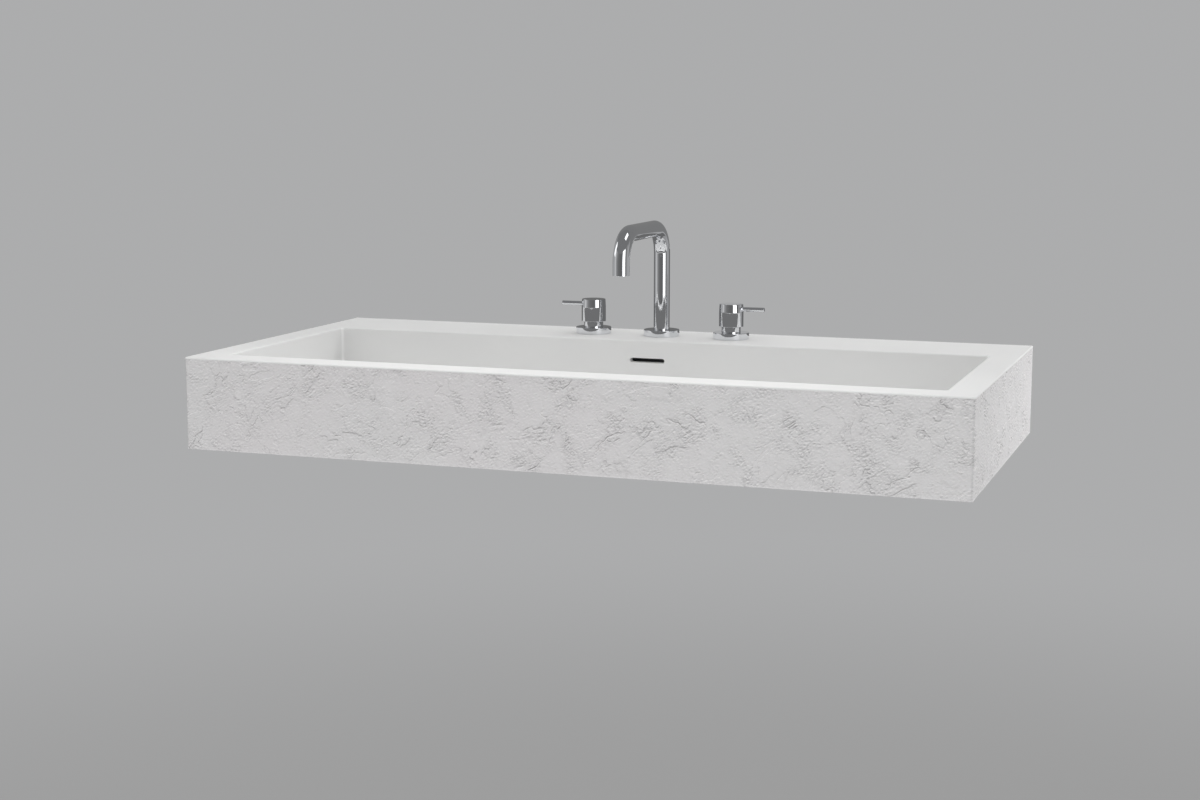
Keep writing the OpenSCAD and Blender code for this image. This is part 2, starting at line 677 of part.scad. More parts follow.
module spout_gasket() color("dimgray") on_tap(0) ring(foot_d / 2, shank_d / 2 + slip_fit, 0, gasket_t);
module spout_rubber_washer() color("dimgray") on_tap(0)
    ring(foot_d / 2, shank_d / 2 + slip_fit, -stack_top, -deck_t);
module spout_steel_washer() color("silver") on_tap(0)
    ring(foot_d / 2, shank_d / 2 + slip_fit, -nut_stack, -stack_top);
module spout_nut() color("goldenrod") on_tap(0)
    hex_nut(shank_nut_af, shank_d / 2, -nut_stack - lock_nut_h, -nut_stack);

// A port for a pipe, and the hole through it: a seat for the pipe and a waterway behind it
module port(side) translate([0, 0, -pipe_drop]) rod_x(side, port_d / 2, 0, port_reach);
module port_hole(side) translate([0, 0, -pipe_drop]) {
    rod_x(side, pipe_d / 2 + slip_fit, port_reach - pipe_in, port_reach + over);
    rod_x(side, pipe_inner, 0, port_reach);
}

module mixing_tee() color("goldenrod") on_tap(0) difference() {
    union() {
        translate([0, 0, -tee_under]) cylinder(d = tee_d, h = tee_under + tee_in - shank_len);
        port(left);
        port(right);
    }
    translate([0, 0, -shank_len]) cylinder(d = shank_d, h = tee_in + over);
    translate([0, 0, tee_floor - tee_under]) cylinder(d = tee_bore_d, h = tee_under - shank_len);
    port_hole(left);
    port_hole(right);
}

module pipe(side) color("peru") on_tap(0) translate([0, 0, -pipe_drop]) difference() {
    rod_x(side, pipe_d / 2, port_reach - pipe_in, tap_pitch - port_reach + pipe_in);
    rod_x(side, pipe_inner, 0, tap_pitch);
}

// A pipe nut, drawn along +X from the start of its hold on the port
module pipe_nut() rotate([0, 90, 0]) difference() {
    hex(pipe_nut_af, 0, pipe_nut_len);
    translate([0, 0, -over]) cylinder(d = port_d, h = pipe_nut_on + over);
    cylinder(r = pipe_d / 2 + slip_fit, h = pipe_nut_len + over);
}

module pipe_nuts() color("goldenrod") on_tap(0) translate([0, 0, -pipe_drop])
    for (turn = [0, 180]) rotate([0, 0, turn]) {
        translate([port_reach - pipe_nut_on, 0, 0]) pipe_nut();
        translate([tap_pitch - port_reach + pipe_nut_on, 0, 0]) rotate([0, 0, 180]) pipe_nut();
    }

module valve_body(side) color("goldenrod") on_tap(side) difference() {
    union() {
        turned([
            [0, inlet_under], [inlet_d / 2 - thread_bevel, inlet_under],
            [inlet_d / 2, inlet_under + thread_bevel], [inlet_d / 2, -valve_block_deep],
            [valve_block_d / 2, -valve_block_deep], [valve_block_d / 2, -valve_block_top],
            [valve_shank_d / 2, -valve_block_top], [valve_shank_d / 2, gasket_t], [foot_d / 2, gasket_t],
            [foot_d / 2, foot_top], [valve_neck_d / 2, foot_top], [valve_neck_d / 2, valve_neck_top],
            [0, valve_neck_top]
        ]);
        port(-side);
    }
    translate([0, 0, -pocket_deep]) cylinder(d = pocket_d, h = pocket_deep + valve_neck_top + over);
    translate([0, 0, inlet_under - over]) cylinder(d = waterway_d, h = -inlet_under);
    port_hole(-side);
}

module cartridge(side) color("whitesmoke") on_tap(side) translate([0, 0, -pocket_deep]) difference() {
    window_z = pocket_deep - pipe_drop;
    cylinder(r = pocket_d / 2 - cartridge_gap, h = cartridge_len);
    translate([0, 0, -over]) cylinder(d = waterway_d, h = window_z + cartridge_window / 2 + over);
    for (turn = [0, 90]) rotate([0, 0, turn]) translate([0, 0, window_z])
        cube([pocket_d + over, cartridge_window, cartridge_window], center = true);
    translate([0, 0, cartridge_len - spindle_in - moving_gap])
        cylinder(r = spindle_d / 2 + running_fit, h = spindle_in + moving_gap + over);
}

module gland(side) color("goldenrod") on_tap(side) difference() {
    union() {
        translate([0, 0, gland_bottom])
            cylinder(r = pocket_d / 2 - cartridge_gap, h = valve_neck_top - gland_bottom);
        hex(gland_af, valve_neck_top, gland_top);
    }
    translate([0, 0, gland_bottom - over])
        cylinder(r = spindle_d / 2 + running_fit, h = gland_top - gland_bottom + 2 * over);
}

module collar(side) color("lightgray") on_tap(side)
    ring(collar_d / 2, valve_neck_d / 2, foot_top, collar_top);

module flange(side) color("lightgray") on_tap(side) deck_flange(collar_d / 2 + slip_fit);

module at_both_valves() for (side = [left, right]) on_tap(side) children();
module valve_gaskets() color("dimgray") at_both_valves()
    ring(foot_d / 2, valve_shank_d / 2 + slip_fit, 0, gasket_t);
module valve_rubber_washers() color("dimgray") at_both_valves()
    ring(foot_d / 2, valve_shank_d / 2 + slip_fit, -stack_top, -deck_t);
module valve_steel_washers() color("silver") at_both_valves()
    ring(foot_d / 2, valve_shank_d / 2 + slip_fit, -nut_stack, -stack_top);
module valve_nuts() color("goldenrod") at_both_valves()
    hex_nut(valve_nut_af, valve_shank_d / 2, -nut_stack - lock_nut_h, -nut_stack);

module handle(side) color("lightgray") on_tap(side) difference() {
    turned([
        [0, hollow_top], [handle_r - handle_skirt, hollow_top], [handle_r - handle_skirt, handle_rise],
        [handle_r - bevel, handle_rise], [handle_r, handle_rise + bevel], [handle_r, handle_top - bevel],
        [handle_r - bevel, handle_top], [0, handle_top]
    ]);
    translate([0, 0, hollow_top - over]) cylinder(d = spindle_d, h = spindle_top - hollow_top + over);
    translate([0, 0, lever_z]) rod_x(side, lever_d / 2, handle_r - lever_in, handle_r + over);
    translate([0, 0, hollow_top + grub_rise]) rotate([-90, 0, 0]) cylinder(d = grub_d, h = handle_r + over);
}

module lever(side) color("lightgray") on_tap(side)
    translate([0, 0, lever_z]) rotate([0, side * 90, 0]) turned([
        [0, handle_r - lever_in], [lever_d / 2, handle_r - lever_in], [lever_d / 2, lever_reach - bevel],
        [lever_d / 2 - bevel, lever_reach], [0, lever_reach]
    ]);

module spindle(side) color("goldenrod") on_tap(side)
    translate([0, 0, gland_bottom - spindle_in])
        cylinder(d = spindle_d, h = spindle_top - gland_bottom + spindle_in);

module grub_screw(side) color("dimgray") on_tap(side)
    translate([0, spindle_d / 2, hollow_top + grub_rise]) rotate([-90, 0, 0]) difference() {
        cylinder(d = grub_d, h = grub_len);
        hex(grub_af, grub_len - grub_socket, grub_len + over);
    }

basin();
apron_front();
apron_side(left);  // apron_left
apron_side(right);  // apron_right
support_blocks();
overflow_duct();
bracket(left);  // bracket_left
bracket(right);  // bracket_right
bracket_screws();
threaded_inserts();
drain_body();
drain_upper_seal();
drain_lower_seal();
drain_washer();
drain_nut();
plug_cap();
plug_seal();
plug_stem();
spout_tube();
spout_stem();
spout_sealing_rings();
spout_clip();
aerator_housing();
aerator_insert();
spout_flange();
spout_shank();
spout_gasket();
spout_rubber_washer();
spout_steel_washer();
spout_nut();
mixing_tee();
pipe(left);  // pipe_left
pipe(right);  // pipe_right
pipe_nuts();
valve_body(left);  // valve_body_left
valve_body(right);  // valve_body_right
cartridge(left);  // cartridge_left
cartridge(right);  // cartridge_right
gland(left);  // gland_left
gland(right);  // gland_right
collar(left);  // collar_left
collar(right);  // collar_right
flange(left);  // flange_left
flange(right);  // flange_right
valve_gaskets();
valve_rubber_washers();
valve_steel_washers();
valve_nuts();
handle(left);  // handle_left
handle(right);  // handle_right
lever(left);  // lever_left
lever(right);  // lever_right
spindle(left);  // spindle_left
spindle(right);  // spindle_right
grub_screw(left);  // grub_screw_left
grub_screw(right);  // grub_screw_right
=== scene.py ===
# Wall-hung trough sink with a widespread tap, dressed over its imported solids.
# Metres. The back is the plane y = 0, the front faces -Y, +X is to the right, +Z is up.
import json
import math

import bmesh
import bpy
import numpy as np
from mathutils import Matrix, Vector


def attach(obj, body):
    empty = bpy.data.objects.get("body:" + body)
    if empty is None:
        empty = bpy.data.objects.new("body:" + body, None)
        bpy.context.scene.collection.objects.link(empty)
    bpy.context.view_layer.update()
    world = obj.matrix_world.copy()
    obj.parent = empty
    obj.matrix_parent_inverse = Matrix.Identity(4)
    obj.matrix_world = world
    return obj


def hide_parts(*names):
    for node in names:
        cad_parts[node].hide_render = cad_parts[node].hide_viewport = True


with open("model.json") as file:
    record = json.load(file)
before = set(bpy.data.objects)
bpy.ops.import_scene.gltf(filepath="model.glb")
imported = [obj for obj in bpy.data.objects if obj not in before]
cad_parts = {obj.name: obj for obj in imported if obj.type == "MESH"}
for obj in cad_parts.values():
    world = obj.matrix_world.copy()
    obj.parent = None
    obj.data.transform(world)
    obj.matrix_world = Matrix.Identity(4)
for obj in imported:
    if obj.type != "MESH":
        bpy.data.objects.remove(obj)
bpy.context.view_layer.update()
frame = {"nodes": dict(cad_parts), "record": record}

mm = 0.001
turn = 2 * math.pi
scene = bpy.context.scene
nodes = frame["nodes"]
slotOf = {part["node"]: part["material_slot"] for part in frame["record"]["subparts"]}


# A piece's dictionary of sizes: given in millimetres, kept in metres and read with a dot
class Sizes(dict):
    def __init__(self, **sizes):
        super().__init__({name: size * mm for name, size in sizes.items()})

    __getattr__ = dict.__getitem__


# What several pieces share
deck = 56 * mm  # the deck's height above the origin
tapLine = -62 * mm  # the y of the spout and the handles
tapPitch = 101.6 * mm  # from the spout to each handle
bowlEnd, bowlBack = 468 * mm, -128 * mm  # the bowl's inner ends and its inner back
drainPlace = (0, -289.5 * mm, deck - 82 * mm)


def tapPlace(side=0, up=0.0):  # side is -1 left, 0 the spout, 1 right
    return (side * tapPitch, tapLine, deck + up)


# Noise and smoothing, on whole arrays

# A rise from 0 to 1 between two values, level at both ends: 3 t squared less 2 t cubed
def smoothRise(low, high, value):
    t = np.clip((value - low) / (high - low), 0, 1)
    return t * t * (3 - 2 * t)


# Gradient noise: a random direction at each lattice corner, times the way from that corner,
# and the four products blended by a curve that is level at the corners. About -1 to 1.
def latticeNoise(x, y, cell, seed):
    angles = np.random.default_rng(seed).uniform(0, turn, 4096)
    x, y = x / cell, y / cell
    ix, iy = np.floor(x).astype(int), np.floor(y).astype(int)
    fx, fy = x - ix, y - iy

    def corner(dx, dy):
        angle = angles[((ix + dx) * 157 + (iy + dy) * 311) % 4096]
        return np.cos(angle) * (fx - dx) + np.sin(angle) * (fy - dy)

    ux = fx**3 * (fx * (fx * 6 - 15) + 10)
    uy = fy**3 * (fy * (fy * 6 - 15) + 10)
    low = corner(0, 0) + ux * (corner(1, 0) - corner(0, 0))
    high = corner(0, 1) + ux * (corner(1, 1) - corner(0, 1))
    return 1.4 * (low + uy * (high - low))


# Several sizes of noise added, each half the size and half the height of the last
def cloudNoise(x, y, cell, seed, octaves=3):
    return sum(latticeNoise(x, y, cell / 2**k, seed + k) / 2**k for k in range(octaves))


# Meshes from grids of points

class Mesher:
    # Collects grids of points, each of shape (rows, columns, 3), into one mesh.
    def __init__(self):
        self.points, self.quads, self.total = [], [], 0

    def grid(self, points, wrapRows=False, wrapColumns=True):
        rows, columns = points.shape[:2]
        index = np.arange(rows * columns).reshape(rows, columns) + self.total
        if wrapRows:
            index = np.vstack([index, index[:1]])
        if wrapColumns:
            index = np.hstack([index, index[:, :1]])
        quads = np.stack([index[:-1, :-1], index[1:, :-1], index[1:, 1:], index[:-1, 1:]], -1)
        self.points.append(points.reshape(-1, 3))
        self.quads.append(quads.reshape(-1, 4))
        self.total += rows * columns
        return self

    # The mesh as an object. Marks are values per point, kept as attributes.
    def made(self, name, marks=None, sharp=32):
        points, quads = np.concatenate(self.points), np.concatenate(self.quads)
        mesh = bpy.data.meshes.new(name)
        mesh.vertices.add(len(points))
        mesh.vertices.foreach_set("co", points.astype(np.float32).ravel())
        mesh.loops.add(quads.size)
        mesh.loops.foreach_set("vertex_index", quads.astype(np.int32).ravel())
        mesh.polygons.add(len(quads))
        mesh.polygons.foreach_set("loop_start", np.arange(len(quads), dtype=np.int32) * 4)
        for mark, values in (marks or {}).items():
            layer = mesh.attributes.new(mark, "FLOAT", "POINT")
            layer.data.foreach_set("value", values.astype(np.float32).ravel())
        mesh.update(calc_edges=True)
        closeUp(mesh)
        mesh.shade_smooth()
        mesh.set_sharp_from_angle(angle=math.radians(sharp))
        piece = bpy.data.objects.new(name, mesh)
        scene.collection.objects.link(piece)
        return piece


# Doubles merged, so that seams and poles close, and then the faces turned outwards
def closeUp(mesh):
    work = bmesh.new()
    work.from_mesh(mesh)
    bmesh.ops.remove_doubles(work, verts=work.verts, dist=2e-6)
    bmesh.ops.dissolve_degenerate(work, edges=work.edges, dist=1e-7)
    bmesh.ops.recalc_face_normals(work, faces=work.faces)
    work.to_mesh(mesh)
    work.free()


# Local points with the axis along Z, put along another axis and moved
def placed(points, at, along):
    x, y, z = np.moveaxis(np.asarray(points, float), -1, 0)
    ways = {"z": (x, y, z), "x": (z, x, y), "-x": (-z, x, -y), "y": (x, z, y)}
    return np.stack(ways[along], -1) + np.asarray(at, float)


# A ring about Z: the radius times the cosine and the sine of the angle, at a height
def spun(radius, angle, height):
    return np.stack([radius * np.cos(angle), radius * np.sin(angle), height + 0 * radius * angle], -1)


# A ring of points at both ends drawn in to its middle, which closes a tube
def capped(points):
    first, last = (ring * 0 + ring[0].mean(0) for ring in (points[:1], points[-1:]))
    return np.concatenate([first, points, last])


# A path of (across, up, rounding) corners as points: each corner becomes an arc that touches
# both of its sides, its centre on the line that halves the corner
def roundedPath(corners, closed=True, segments=6):
    flat = np.array([c[:2] for c in corners], float)
    points = []
    for k, (corner, rounding) in enumerate(zip(flat, [c[2] if len(c) > 2 else 0 for c in corners])):
        inside = closed or 0 < k < len(flat) - 1
        if not rounding or not inside:
            points.append(corner)
            continue
        back, ahead = flat[k - 1] - corner, flat[(k + 1) % len(flat)] - corner
        back, ahead = back / np.linalg.norm(back), ahead / np.linalg.norm(ahead)
        half = math.acos(np.clip(back @ ahead, -1, 1)) / 2
        middle = (back + ahead) / np.linalg.norm(back + ahead)
        centre = corner + middle * rounding / math.sin(half)
        start = corner + back * rounding / math.tan(half) - centre
        end = corner + ahead * rounding / math.tan(half) - centre
        sweep = math.atan2(start[0] * end[1] - start[1] * end[0], start @ end)
        angle = math.atan2(start[1], start[0]) + np.linspace(0, sweep, segments + 1)
        points.extend(centre + rounding * np.stack([np.cos(angle), np.sin(angle)], -1))
    return np.array(points)


# A section's rectangle, with its four edges rounded
def ringCorners(outer, inner, low, high, rounding=0.2 * mm):
    return [(inner, low, rounding), (outer, low, rounding), (outer, high, rounding),
            (inner, high, rounding)]


# A turned surface: each (radius, height) goes round the axis, radius times cosine and sine of the
# angle. A thread takes depth times a triangle wave of height over pitch less the turn away.
def turned(corners, steps=96, at=(0, 0, 0), along="z", *threads, closed=True):
    profile = roundedPath(corners, closed)
    angle = np.linspace(0, turn, steps, endpoint=False)
    for thread in threads:
        step = thread["pitch"] / 8
        rows = []
        for a, b in zip(profile, np.roll(profile, -1, 0)):
            rows.append(a)
            onRun = abs(a[0] - thread["radius"]) + abs(b[0] - thread["radius"]) < 1e-6
            low, high = max(min(a[1], b[1]), thread["low"]), min(max(a[1], b[1]), thread["high"])
            if onRun and high - low > step:
                heights = np.linspace(low, high, int((high - low) / step) + 2)[1:-1]
                heights = heights if b[1] > a[1] else heights[::-1]
                rows.extend(np.stack([np.full_like(heights, a[0]), heights], -1))
        profile = np.array(rows)
    radius, height = (np.repeat(profile[:, k:k + 1], steps, 1) for k in (0, 1))
    for thread in threads:
        ends = np.minimum(height - thread["low"], thread["high"] - height)
        onThread = abs(profile[:, :1] - thread["radius"]) < 1e-6
        runOut = np.clip(ends / thread["pitch"], 0, 1) * onThread
        wave = (height / thread["pitch"] - angle / turn) % 1
        radius = radius - thread["depth"] * runOut * (1 - abs(2 * wave - 1))
    return placed(spun(radius, angle, height), at, along)


# A hexagon nut: half the flats over the cosine of the angle from a flat's middle, cut at both ends
# by a 30 degree cone, with a bevelled bore, which may step to another at some height
def hexNut(flats, bore, low, high, at, along="z", boreHigh=None, stepAt=0.0, steps=96):
    angle, bevel, slope = np.linspace(0, turn, steps, endpoint=False), 0.5 * mm, math.tan(turn / 12)
    side = flats / 2 / np.cos(angle % (turn / 6) - turn / 12)
    coneStart = 0.95 * flats / 2
    cone = np.linspace(0, (flats / 2 / math.cos(turn / 12) - coneStart) * slope, 7)
    far = boreHigh or bore
    outer = [np.minimum(side, coneStart + c / slope) for c in cone]
    radius = [bore, bore + bevel, *outer, *outer[::-1], far + bevel, far]
    height = [low + bevel, low, *(low + cone), *(high - cone[::-1]), high, high - bevel]
    if boreHigh:
        radius, height = radius + [far, bore], height + [stepAt, stepAt]
    return placed([spun(r, angle, h) for r, h in zip(radius, height)], at, along)


# A tool for a cut, from a tube of points that is closed at both ends
def cutter(points):
    return Mesher().grid(capped(points)).made("cutter")


# Boolean cuts, worked out here so that no cutter is left in the scene
def cutAway(piece, cutters, sharp=32):
    for tool in cutters:
        cut = piece.modifiers.new("cut", "BOOLEAN")
        cut.operation, cut.solver, cut.object = "DIFFERENCE", "EXACT", tool
    bpy.context.view_layer.update()
    seen = piece.evaluated_get(bpy.context.evaluated_depsgraph_get())
    shape = bpy.data.meshes.new_from_object(seen)
    piece.modifiers.clear()
    piece.data = shape
    shape.name = piece.name
    for tool in cutters:
        bpy.data.objects.remove(tool)
    shape.shade_smooth()
    shape.set_sharp_from_angle(angle=math.radians(sharp))
    return piece


# Shader trees

class Sock:
    # An output socket. Python's operators on it add Math nodes, so 1 - mask works.
    def __init__(self, tree, socket):
        self.tree, self.socket = tree, socket

    def math(self, operation, *others):
        return self.tree.node("ShaderNodeMath", (self, *others), operation=operation)

    def __add__(self, other):
        return self.math("ADD", other)

    def __sub__(self, other):
        return self.math("SUBTRACT", other)

    def __rsub__(self, other):
        return self.tree.node("ShaderNodeMath", (other, self), operation="SUBTRACT")

    def __mul__(self, other):
        return self.math("MULTIPLY", other)

    __radd__, __rmul__ = __add__, __mul__

    # From 0 to 1 while this goes from low to high, smoothly
    def rise(self, low, high):
        return self.tree.node("ShaderNodeMapRange", {"Value": self, "From Min": low, "From Max": high},
                              interpolation_type="SMOOTHSTEP")


class Tree:
    def __init__(self, nodeTree):
        self.nodeTree = nodeTree

    # Any node: its kind, its inputs by name or place, the output wanted, and its settings
    def node(self, kind, values=(), out=0, **settings):
        made = self.nodeTree.nodes.new(kind)
        for setting, value in settings.items():
            setattr(made, setting, value)
        for key, value in (values.items() if isinstance(values, dict) else enumerate(values)):
            if isinstance(value, Sock):
                self.nodeTree.links.new(value.socket, made.inputs[key])
            else:
                made.inputs[key].default_value = value
        return Sock(self, made.outputs[out]) if made.outputs else made

    def noise(self, scale, detail=2, roughness=0.5, place=None, distortion=0):
        values = {"Scale": scale, "Detail": detail, "Roughness": roughness, "Distortion": distortion}
        return self.node("ShaderNodeTexNoise", {**values, "Vector": place or self.place})

    def mix(self, factor, first, second):
        full = [c if isinstance(c, Sock) else (*c, 1) for c in (first, second)]
        return self.node("ShaderNodeMix", {0: factor, 6: full[0], 7: full[1]}, out=2, data_type="RGBA")

    # The place as a texture sees it that is stretched, then turned, then moved
    def mapping(self, stretch, turned=(0, 0, 0), moved=(0, 0, 0)):
        values = {"Vector": self.place, "Location": moved, "Rotation": turned, "Scale": stretch}
        return self.node("ShaderNodeMapping", values, vector_type="TEXTURE")

    def bump(self, height, distance, strength=1):
        return self.node("ShaderNodeBump", {"Height": height, "Distance": distance, "Strength": strength})


class Look(Tree):
    # A material on a Principled shader. Constants go on the shader's own sockets.
    def __init__(self, name, **constants):
        self.material = bpy.data.materials.new(name)
        self.material.use_nodes = True
        super().__init__(self.material.node_tree)
        self.shader = self.nodeTree.nodes["Principled BSDF"]
        self.place = self.node("ShaderNodeTexCoord", out="Object")
        self.feed(**constants)

    # Constants and links by the socket's name without blanks
    def feed(self, **values):
        for key, value in values.items():
            socket = next(s for s in self.shader.inputs if s.name.replace(" ", "") == key)
            if isinstance(value, Sock):
                self.nodeTree.links.new(value.socket, socket)
            else:
                socket.default_value = (*value, 1) if isinstance(value, tuple) and len(value) == 3 else value
        return self


# pale is the tone of a painted highlight down the bowl's upright inner corners
casting = dict(body=(0.86, 0.86, 0.853), shade=(0.835, 0.836, 0.832), pale=(0.96, 0.96, 0.955),
               polishedLine=4 * mm)


# Matt casting with faint wiping marks in its sheen. In the bowl's upright corners, where a point is
# within the highlight's width of both the bowl's end and its back, a painted highlight turns it paler.
def castingLook():
    c = casting
    look = Look("whiteCasting", SpecularIORLevel=0.1)
    clouds, grain, bloom = look.noise(7, 3), look.noise(1400, 2), look.noise(28, 4, 0.6)
    x, y = (look.node("ShaderNodeSeparateXYZ", [look.place], out=axis) for axis in "XY")
    fromEnd, fromBack = bowlEnd - x.math("ABSOLUTE"), bowlBack - y
    # polished marks a painted highlight, not polish: only the colour turns paler, the roughness stays the
    # same
    polished = (c["polishedLine"] - fromEnd.math("MAXIMUM", fromBack)).rise(0.0, 2 * mm) * \
        fromEnd.math("MINIMUM", fromBack).rise(-0.2 * mm, 0.0)
    tone = look.mix(clouds.rise(0.3, 0.7) * 0.7 + grain * 0.3, c["body"], c["shade"])
    return look.feed(
        BaseColor=look.mix(polished, tone, c["pale"]),
        Roughness=0.44 + 0.05 * bloom + 0.04 * grain,
        Normal=look.bump(grain + 0.5 * look.noise(340, 2), 0.02 * mm, 0.5))


plaster = dict(
    body=(0.76, 0.742, 0.75), cool=(0.748, 0.74, 0.744), pale=(0.785, 0.775, 0.78),
    # The palest tone is painted light on up-facing relief, the darkest is painted shade, and edge is a
    # painted highlight along the bottom arris
    deep=(0.36, 0.35, 0.355), worn=(0.97, 0.955, 0.96), edge=(0.84, 0.83, 0.835),
    slant=math.radians(-24), reach=1.1 * mm, relief=4.0 * mm)


# Plaster: its height is fine slanting grain with terraces, where a slow noise crosses two levels,
# and cracks where it's near a third. The height here less the height a reach further up is above 0
# on what faces up, which gets painted light, and below 0 on what faces down, which gets painted shade.
def apronLook():
    p = plaster
    look = Look("apronStone")
    # Marks from the mesh: dark is painted shade in cracks, pits, low grain and the front corners
    dark, rough, edge = (look.node("ShaderNodeAttribute", out="Fac", attribute_name=mark)
                         for mark in ("dark", "rough", "edge"))
    broken = look.noise(24, 2).rise(0.42, 0.56) * (0.4 + 0.6 * rough)
    patches = (0.5 + 0.5 * rough) * (0.5 + 0.6 * look.noise(60, 4, 0.6).rise(0.36, 0.64))

    def height(up):
        place = look.mapping((1.5, 1.5, 1), (0, p["slant"], 0), (0, 0, -up))
        layers = look.noise(14, 4, 0.55, place, 0.4)
        crack = (0.01 - (layers - 0.49).math("ABSOLUTE")).rise(0.0, 0.01)
        steps = layers.rise(0.41, 0.42) + layers.rise(0.56, 0.57)
        return 0.9 * look.noise(400, 2, 0.5, place) * patches + broken * (0.3 * steps - 0.24 * crack)

    here = height(0)
    # Painted light from above: above 0 where the relief faces up, below 0 where it faces down
    paintedTopLight = here - height(p["reach"])
    clouds = look.noise(22, 4, 0.6, distortion=0.5)
    tone = look.mix(look.noise(5, 3).rise(0.35, 0.65), p["body"], p["cool"])
    tone = look.mix(clouds.rise(0.45, 0.7) * 0.5, tone, p["pale"])
    # Painted light where the relief faces up, then painted shade where it faces down and where the dark mark
    # is
    tone = look.mix(paintedTopLight.rise(0.0, 0.15), tone, p["worn"])
    tone = look.mix(0.55 * (0 - paintedTopLight).rise(0.01, 0.2) + 0.16 * dark, tone, p["deep"])
    return look.feed(
        # Painted highlight along the bottom arris and at the back ends
        BaseColor=look.mix(edge * 0.8, tone, p["edge"]),
        Roughness=0.62 + 0.2 * look.noise(1300, 2),
        Normal=look.bump(here, p["relief"], 1.0))


# Polished plating: fingermarks dull it a little and tint it, and fine spots dull it more
def chromeLook():
    look = Look("polishedChrome", Metallic=1.0)
    smudge, spots = look.noise(55, 4, 0.6), look.noise(900, 2)
    return look.feed(
        BaseColor=look.mix(smudge, (0.80, 0.81, 0.83), (0.75, 0.76, 0.785)),
        Roughness=0.025 + 0.035 * smudge.rise(0.45, 0.75) + 0.02 * spots.rise(0.62, 0.75),
        Normal=look.bump(look.noise(160, 1), 0.004 * mm, 0.3))


# Machined or drawn metal: colour clouds, fine lines across the stretch, duller spots
def metalLook(name, bright, dull, roughness, stretch):
    look = Look(name, Metallic=1.0)
    clouds, spots = look.noise(60, 4, 0.6), look.noise(320, 3, 0.7)
    cuts = look.noise(90, 3, 0.6, look.mapping(stretch))
    return look.feed(
        BaseColor=look.mix((0.65 * clouds + 0.35 * spots).rise(0.35, 0.7), bright, dull),
        Roughness=roughness + 0.22 * spots * clouds + 0.1 * cuts,
        Normal=look.bump(cuts, 0.03 * mm, 0.5))


# Moulded or coated: a flat colour broken by clouds and a fine skin, its depth in millimetres
def skinLook(name, body, shade, roughness, scale, depth):
    look = Look(name)
    clouds, skin = look.noise(24, 3), look.noise(scale, 3, 0.6)
    return look.feed(
        BaseColor=look.mix(clouds.rise(0.35, 0.7) * 0.8 + skin * 0.2, body, shade),
        Roughness=roughness + 0.12 * clouds + 0.1 * skin,
        Normal=look.bump(skin, depth * mm, 0.6))


looks = {
    "white_solid_surface": castingLook(),
    "textured_apron": apronLook(),
    "polished_chrome": chromeLook(),
    "plain_brass": metalLook("plainBrass", (0.80, 0.60, 0.30), (0.52, 0.38, 0.19), 0.2, (1, 1, 0.045)),
    "copper_pipe": metalLook("copperPipe", (0.80, 0.46, 0.31), (0.45, 0.24, 0.16), 0.26, (1, 0.11, 0.11)),
    "bright_steel": metalLook("brightSteel", (0.68, 0.68, 0.69), (0.5, 0.5, 0.51), 0.24, (0.07, 1, 1)),
    "grey_steel": skinLook("greyPowderCoat", (0.40, 0.41, 0.42), (0.34, 0.35, 0.36), 0.42, 900, 0.06),
    "black_rubber": skinLook("blackRubber", (0.035, 0.035, 0.036), (0.06, 0.06, 0.062), 0.62, 1300, 0.04),
    "white_plastic": skinLook("whitePlastic", (0.78, 0.78, 0.76), (0.70, 0.70, 0.68), 0.36, 1600, 0.02),
    "dark_plastic": skinLook("darkPlastic", (0.05, 0.05, 0.054), (0.075, 0.075, 0.08), 0.45, 1200, 0.04),
}
print("looks made:", len(looks))


# Puts a finished piece on its body, with the look and slot of the nodes that it stands for
def settle(piece, body, *replaced):
    slotName = slotOf[replaced[0]]
    piece.data.materials.clear()
    piece.data.materials.append(looks[slotName].material)
    normals = piece.modifiers.new("weightedNormals", "WEIGHTED_NORMAL")
    normals.keep_sharp, normals.weight = True, 75
    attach(piece, body)
    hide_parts(*replaced)


# Grids gathered into one piece that stands for one node
def gathered(name, grids, node, body="sink", closed=True):
    mesher = Mesher()
    for points in grids:
        mesher.grid(points, wrapRows=closed)
    settle(mesher.made(name), body, node)


# One turned piece from its section's corners
def turnedPiece(name, corners, at, body, node, steps=128, along="z", closed=True):
    gathered(name, [turned(corners, steps, at, along, closed=closed)], node, body, closed)


# The bowl, deck and rim

basin = Sizes(
    wide=508, front=-495, slab=12, arris=1.4, cornerFront=4, cornerBack=0.8, bowlFront=-451,
    rimFillet=2.6, bowlCorner=5, coveCorner=10, wall=12, depth=82, floor=10, fallLong=7, fallShort=3,
    cove=13, hole=22.5, recess=33, recessDeep=3.5, lip=0.8, tapHole=17.5,
    slotWide=50, slotHigh=6, slotDrop=27.4, slotFlare=0.9)


# A rectangle with rounded corners, from the front side on: at each corner an arc, its radius times
# cosine and sine about its centre, and before it a straight side of even steps
def cornerLoop(half, front, back, frontR, backR, longSteps=60, shortSteps=26, arcSteps=8):
    y0, y1 = front + frontR, back - backR
    arcs = []
    for x, y, r, quarter in ((half - frontR, y0, frontR, -1), (half - backR, y1, backR, 0),
                             (backR - half, y1, backR, 1), (frontR - half, y0, frontR, 2)):
        angle = (quarter + np.linspace(0, 1, arcSteps + 1)) * turn / 4
        arcs.append(spun(r, angle, 0)[:, :2] + (x, y))
    loop = []
    for before, arc, steps in zip([arcs[-1], *arcs], arcs, [longSteps, shortSteps] * 2):
        loop += [np.linspace(before[-1], arc[0], steps, endpoint=False), arc[:-1]]
    return np.concatenate(loop)


# The floor's height: the falls from the ends and from the front and back, joined softly by the
# cube root of the sum of their cubes
def floorHeight(x, y):
    b = basin
    middle, half = (b.bowlFront + bowlBack) / 2, (bowlBack - b.bowlFront) / 2
    long, short = b.fallLong * abs(x) / bowlEnd, b.fallShort * abs(y - middle) / half
    return -b.depth + (long**3 + short**3) ** (1 / 3)


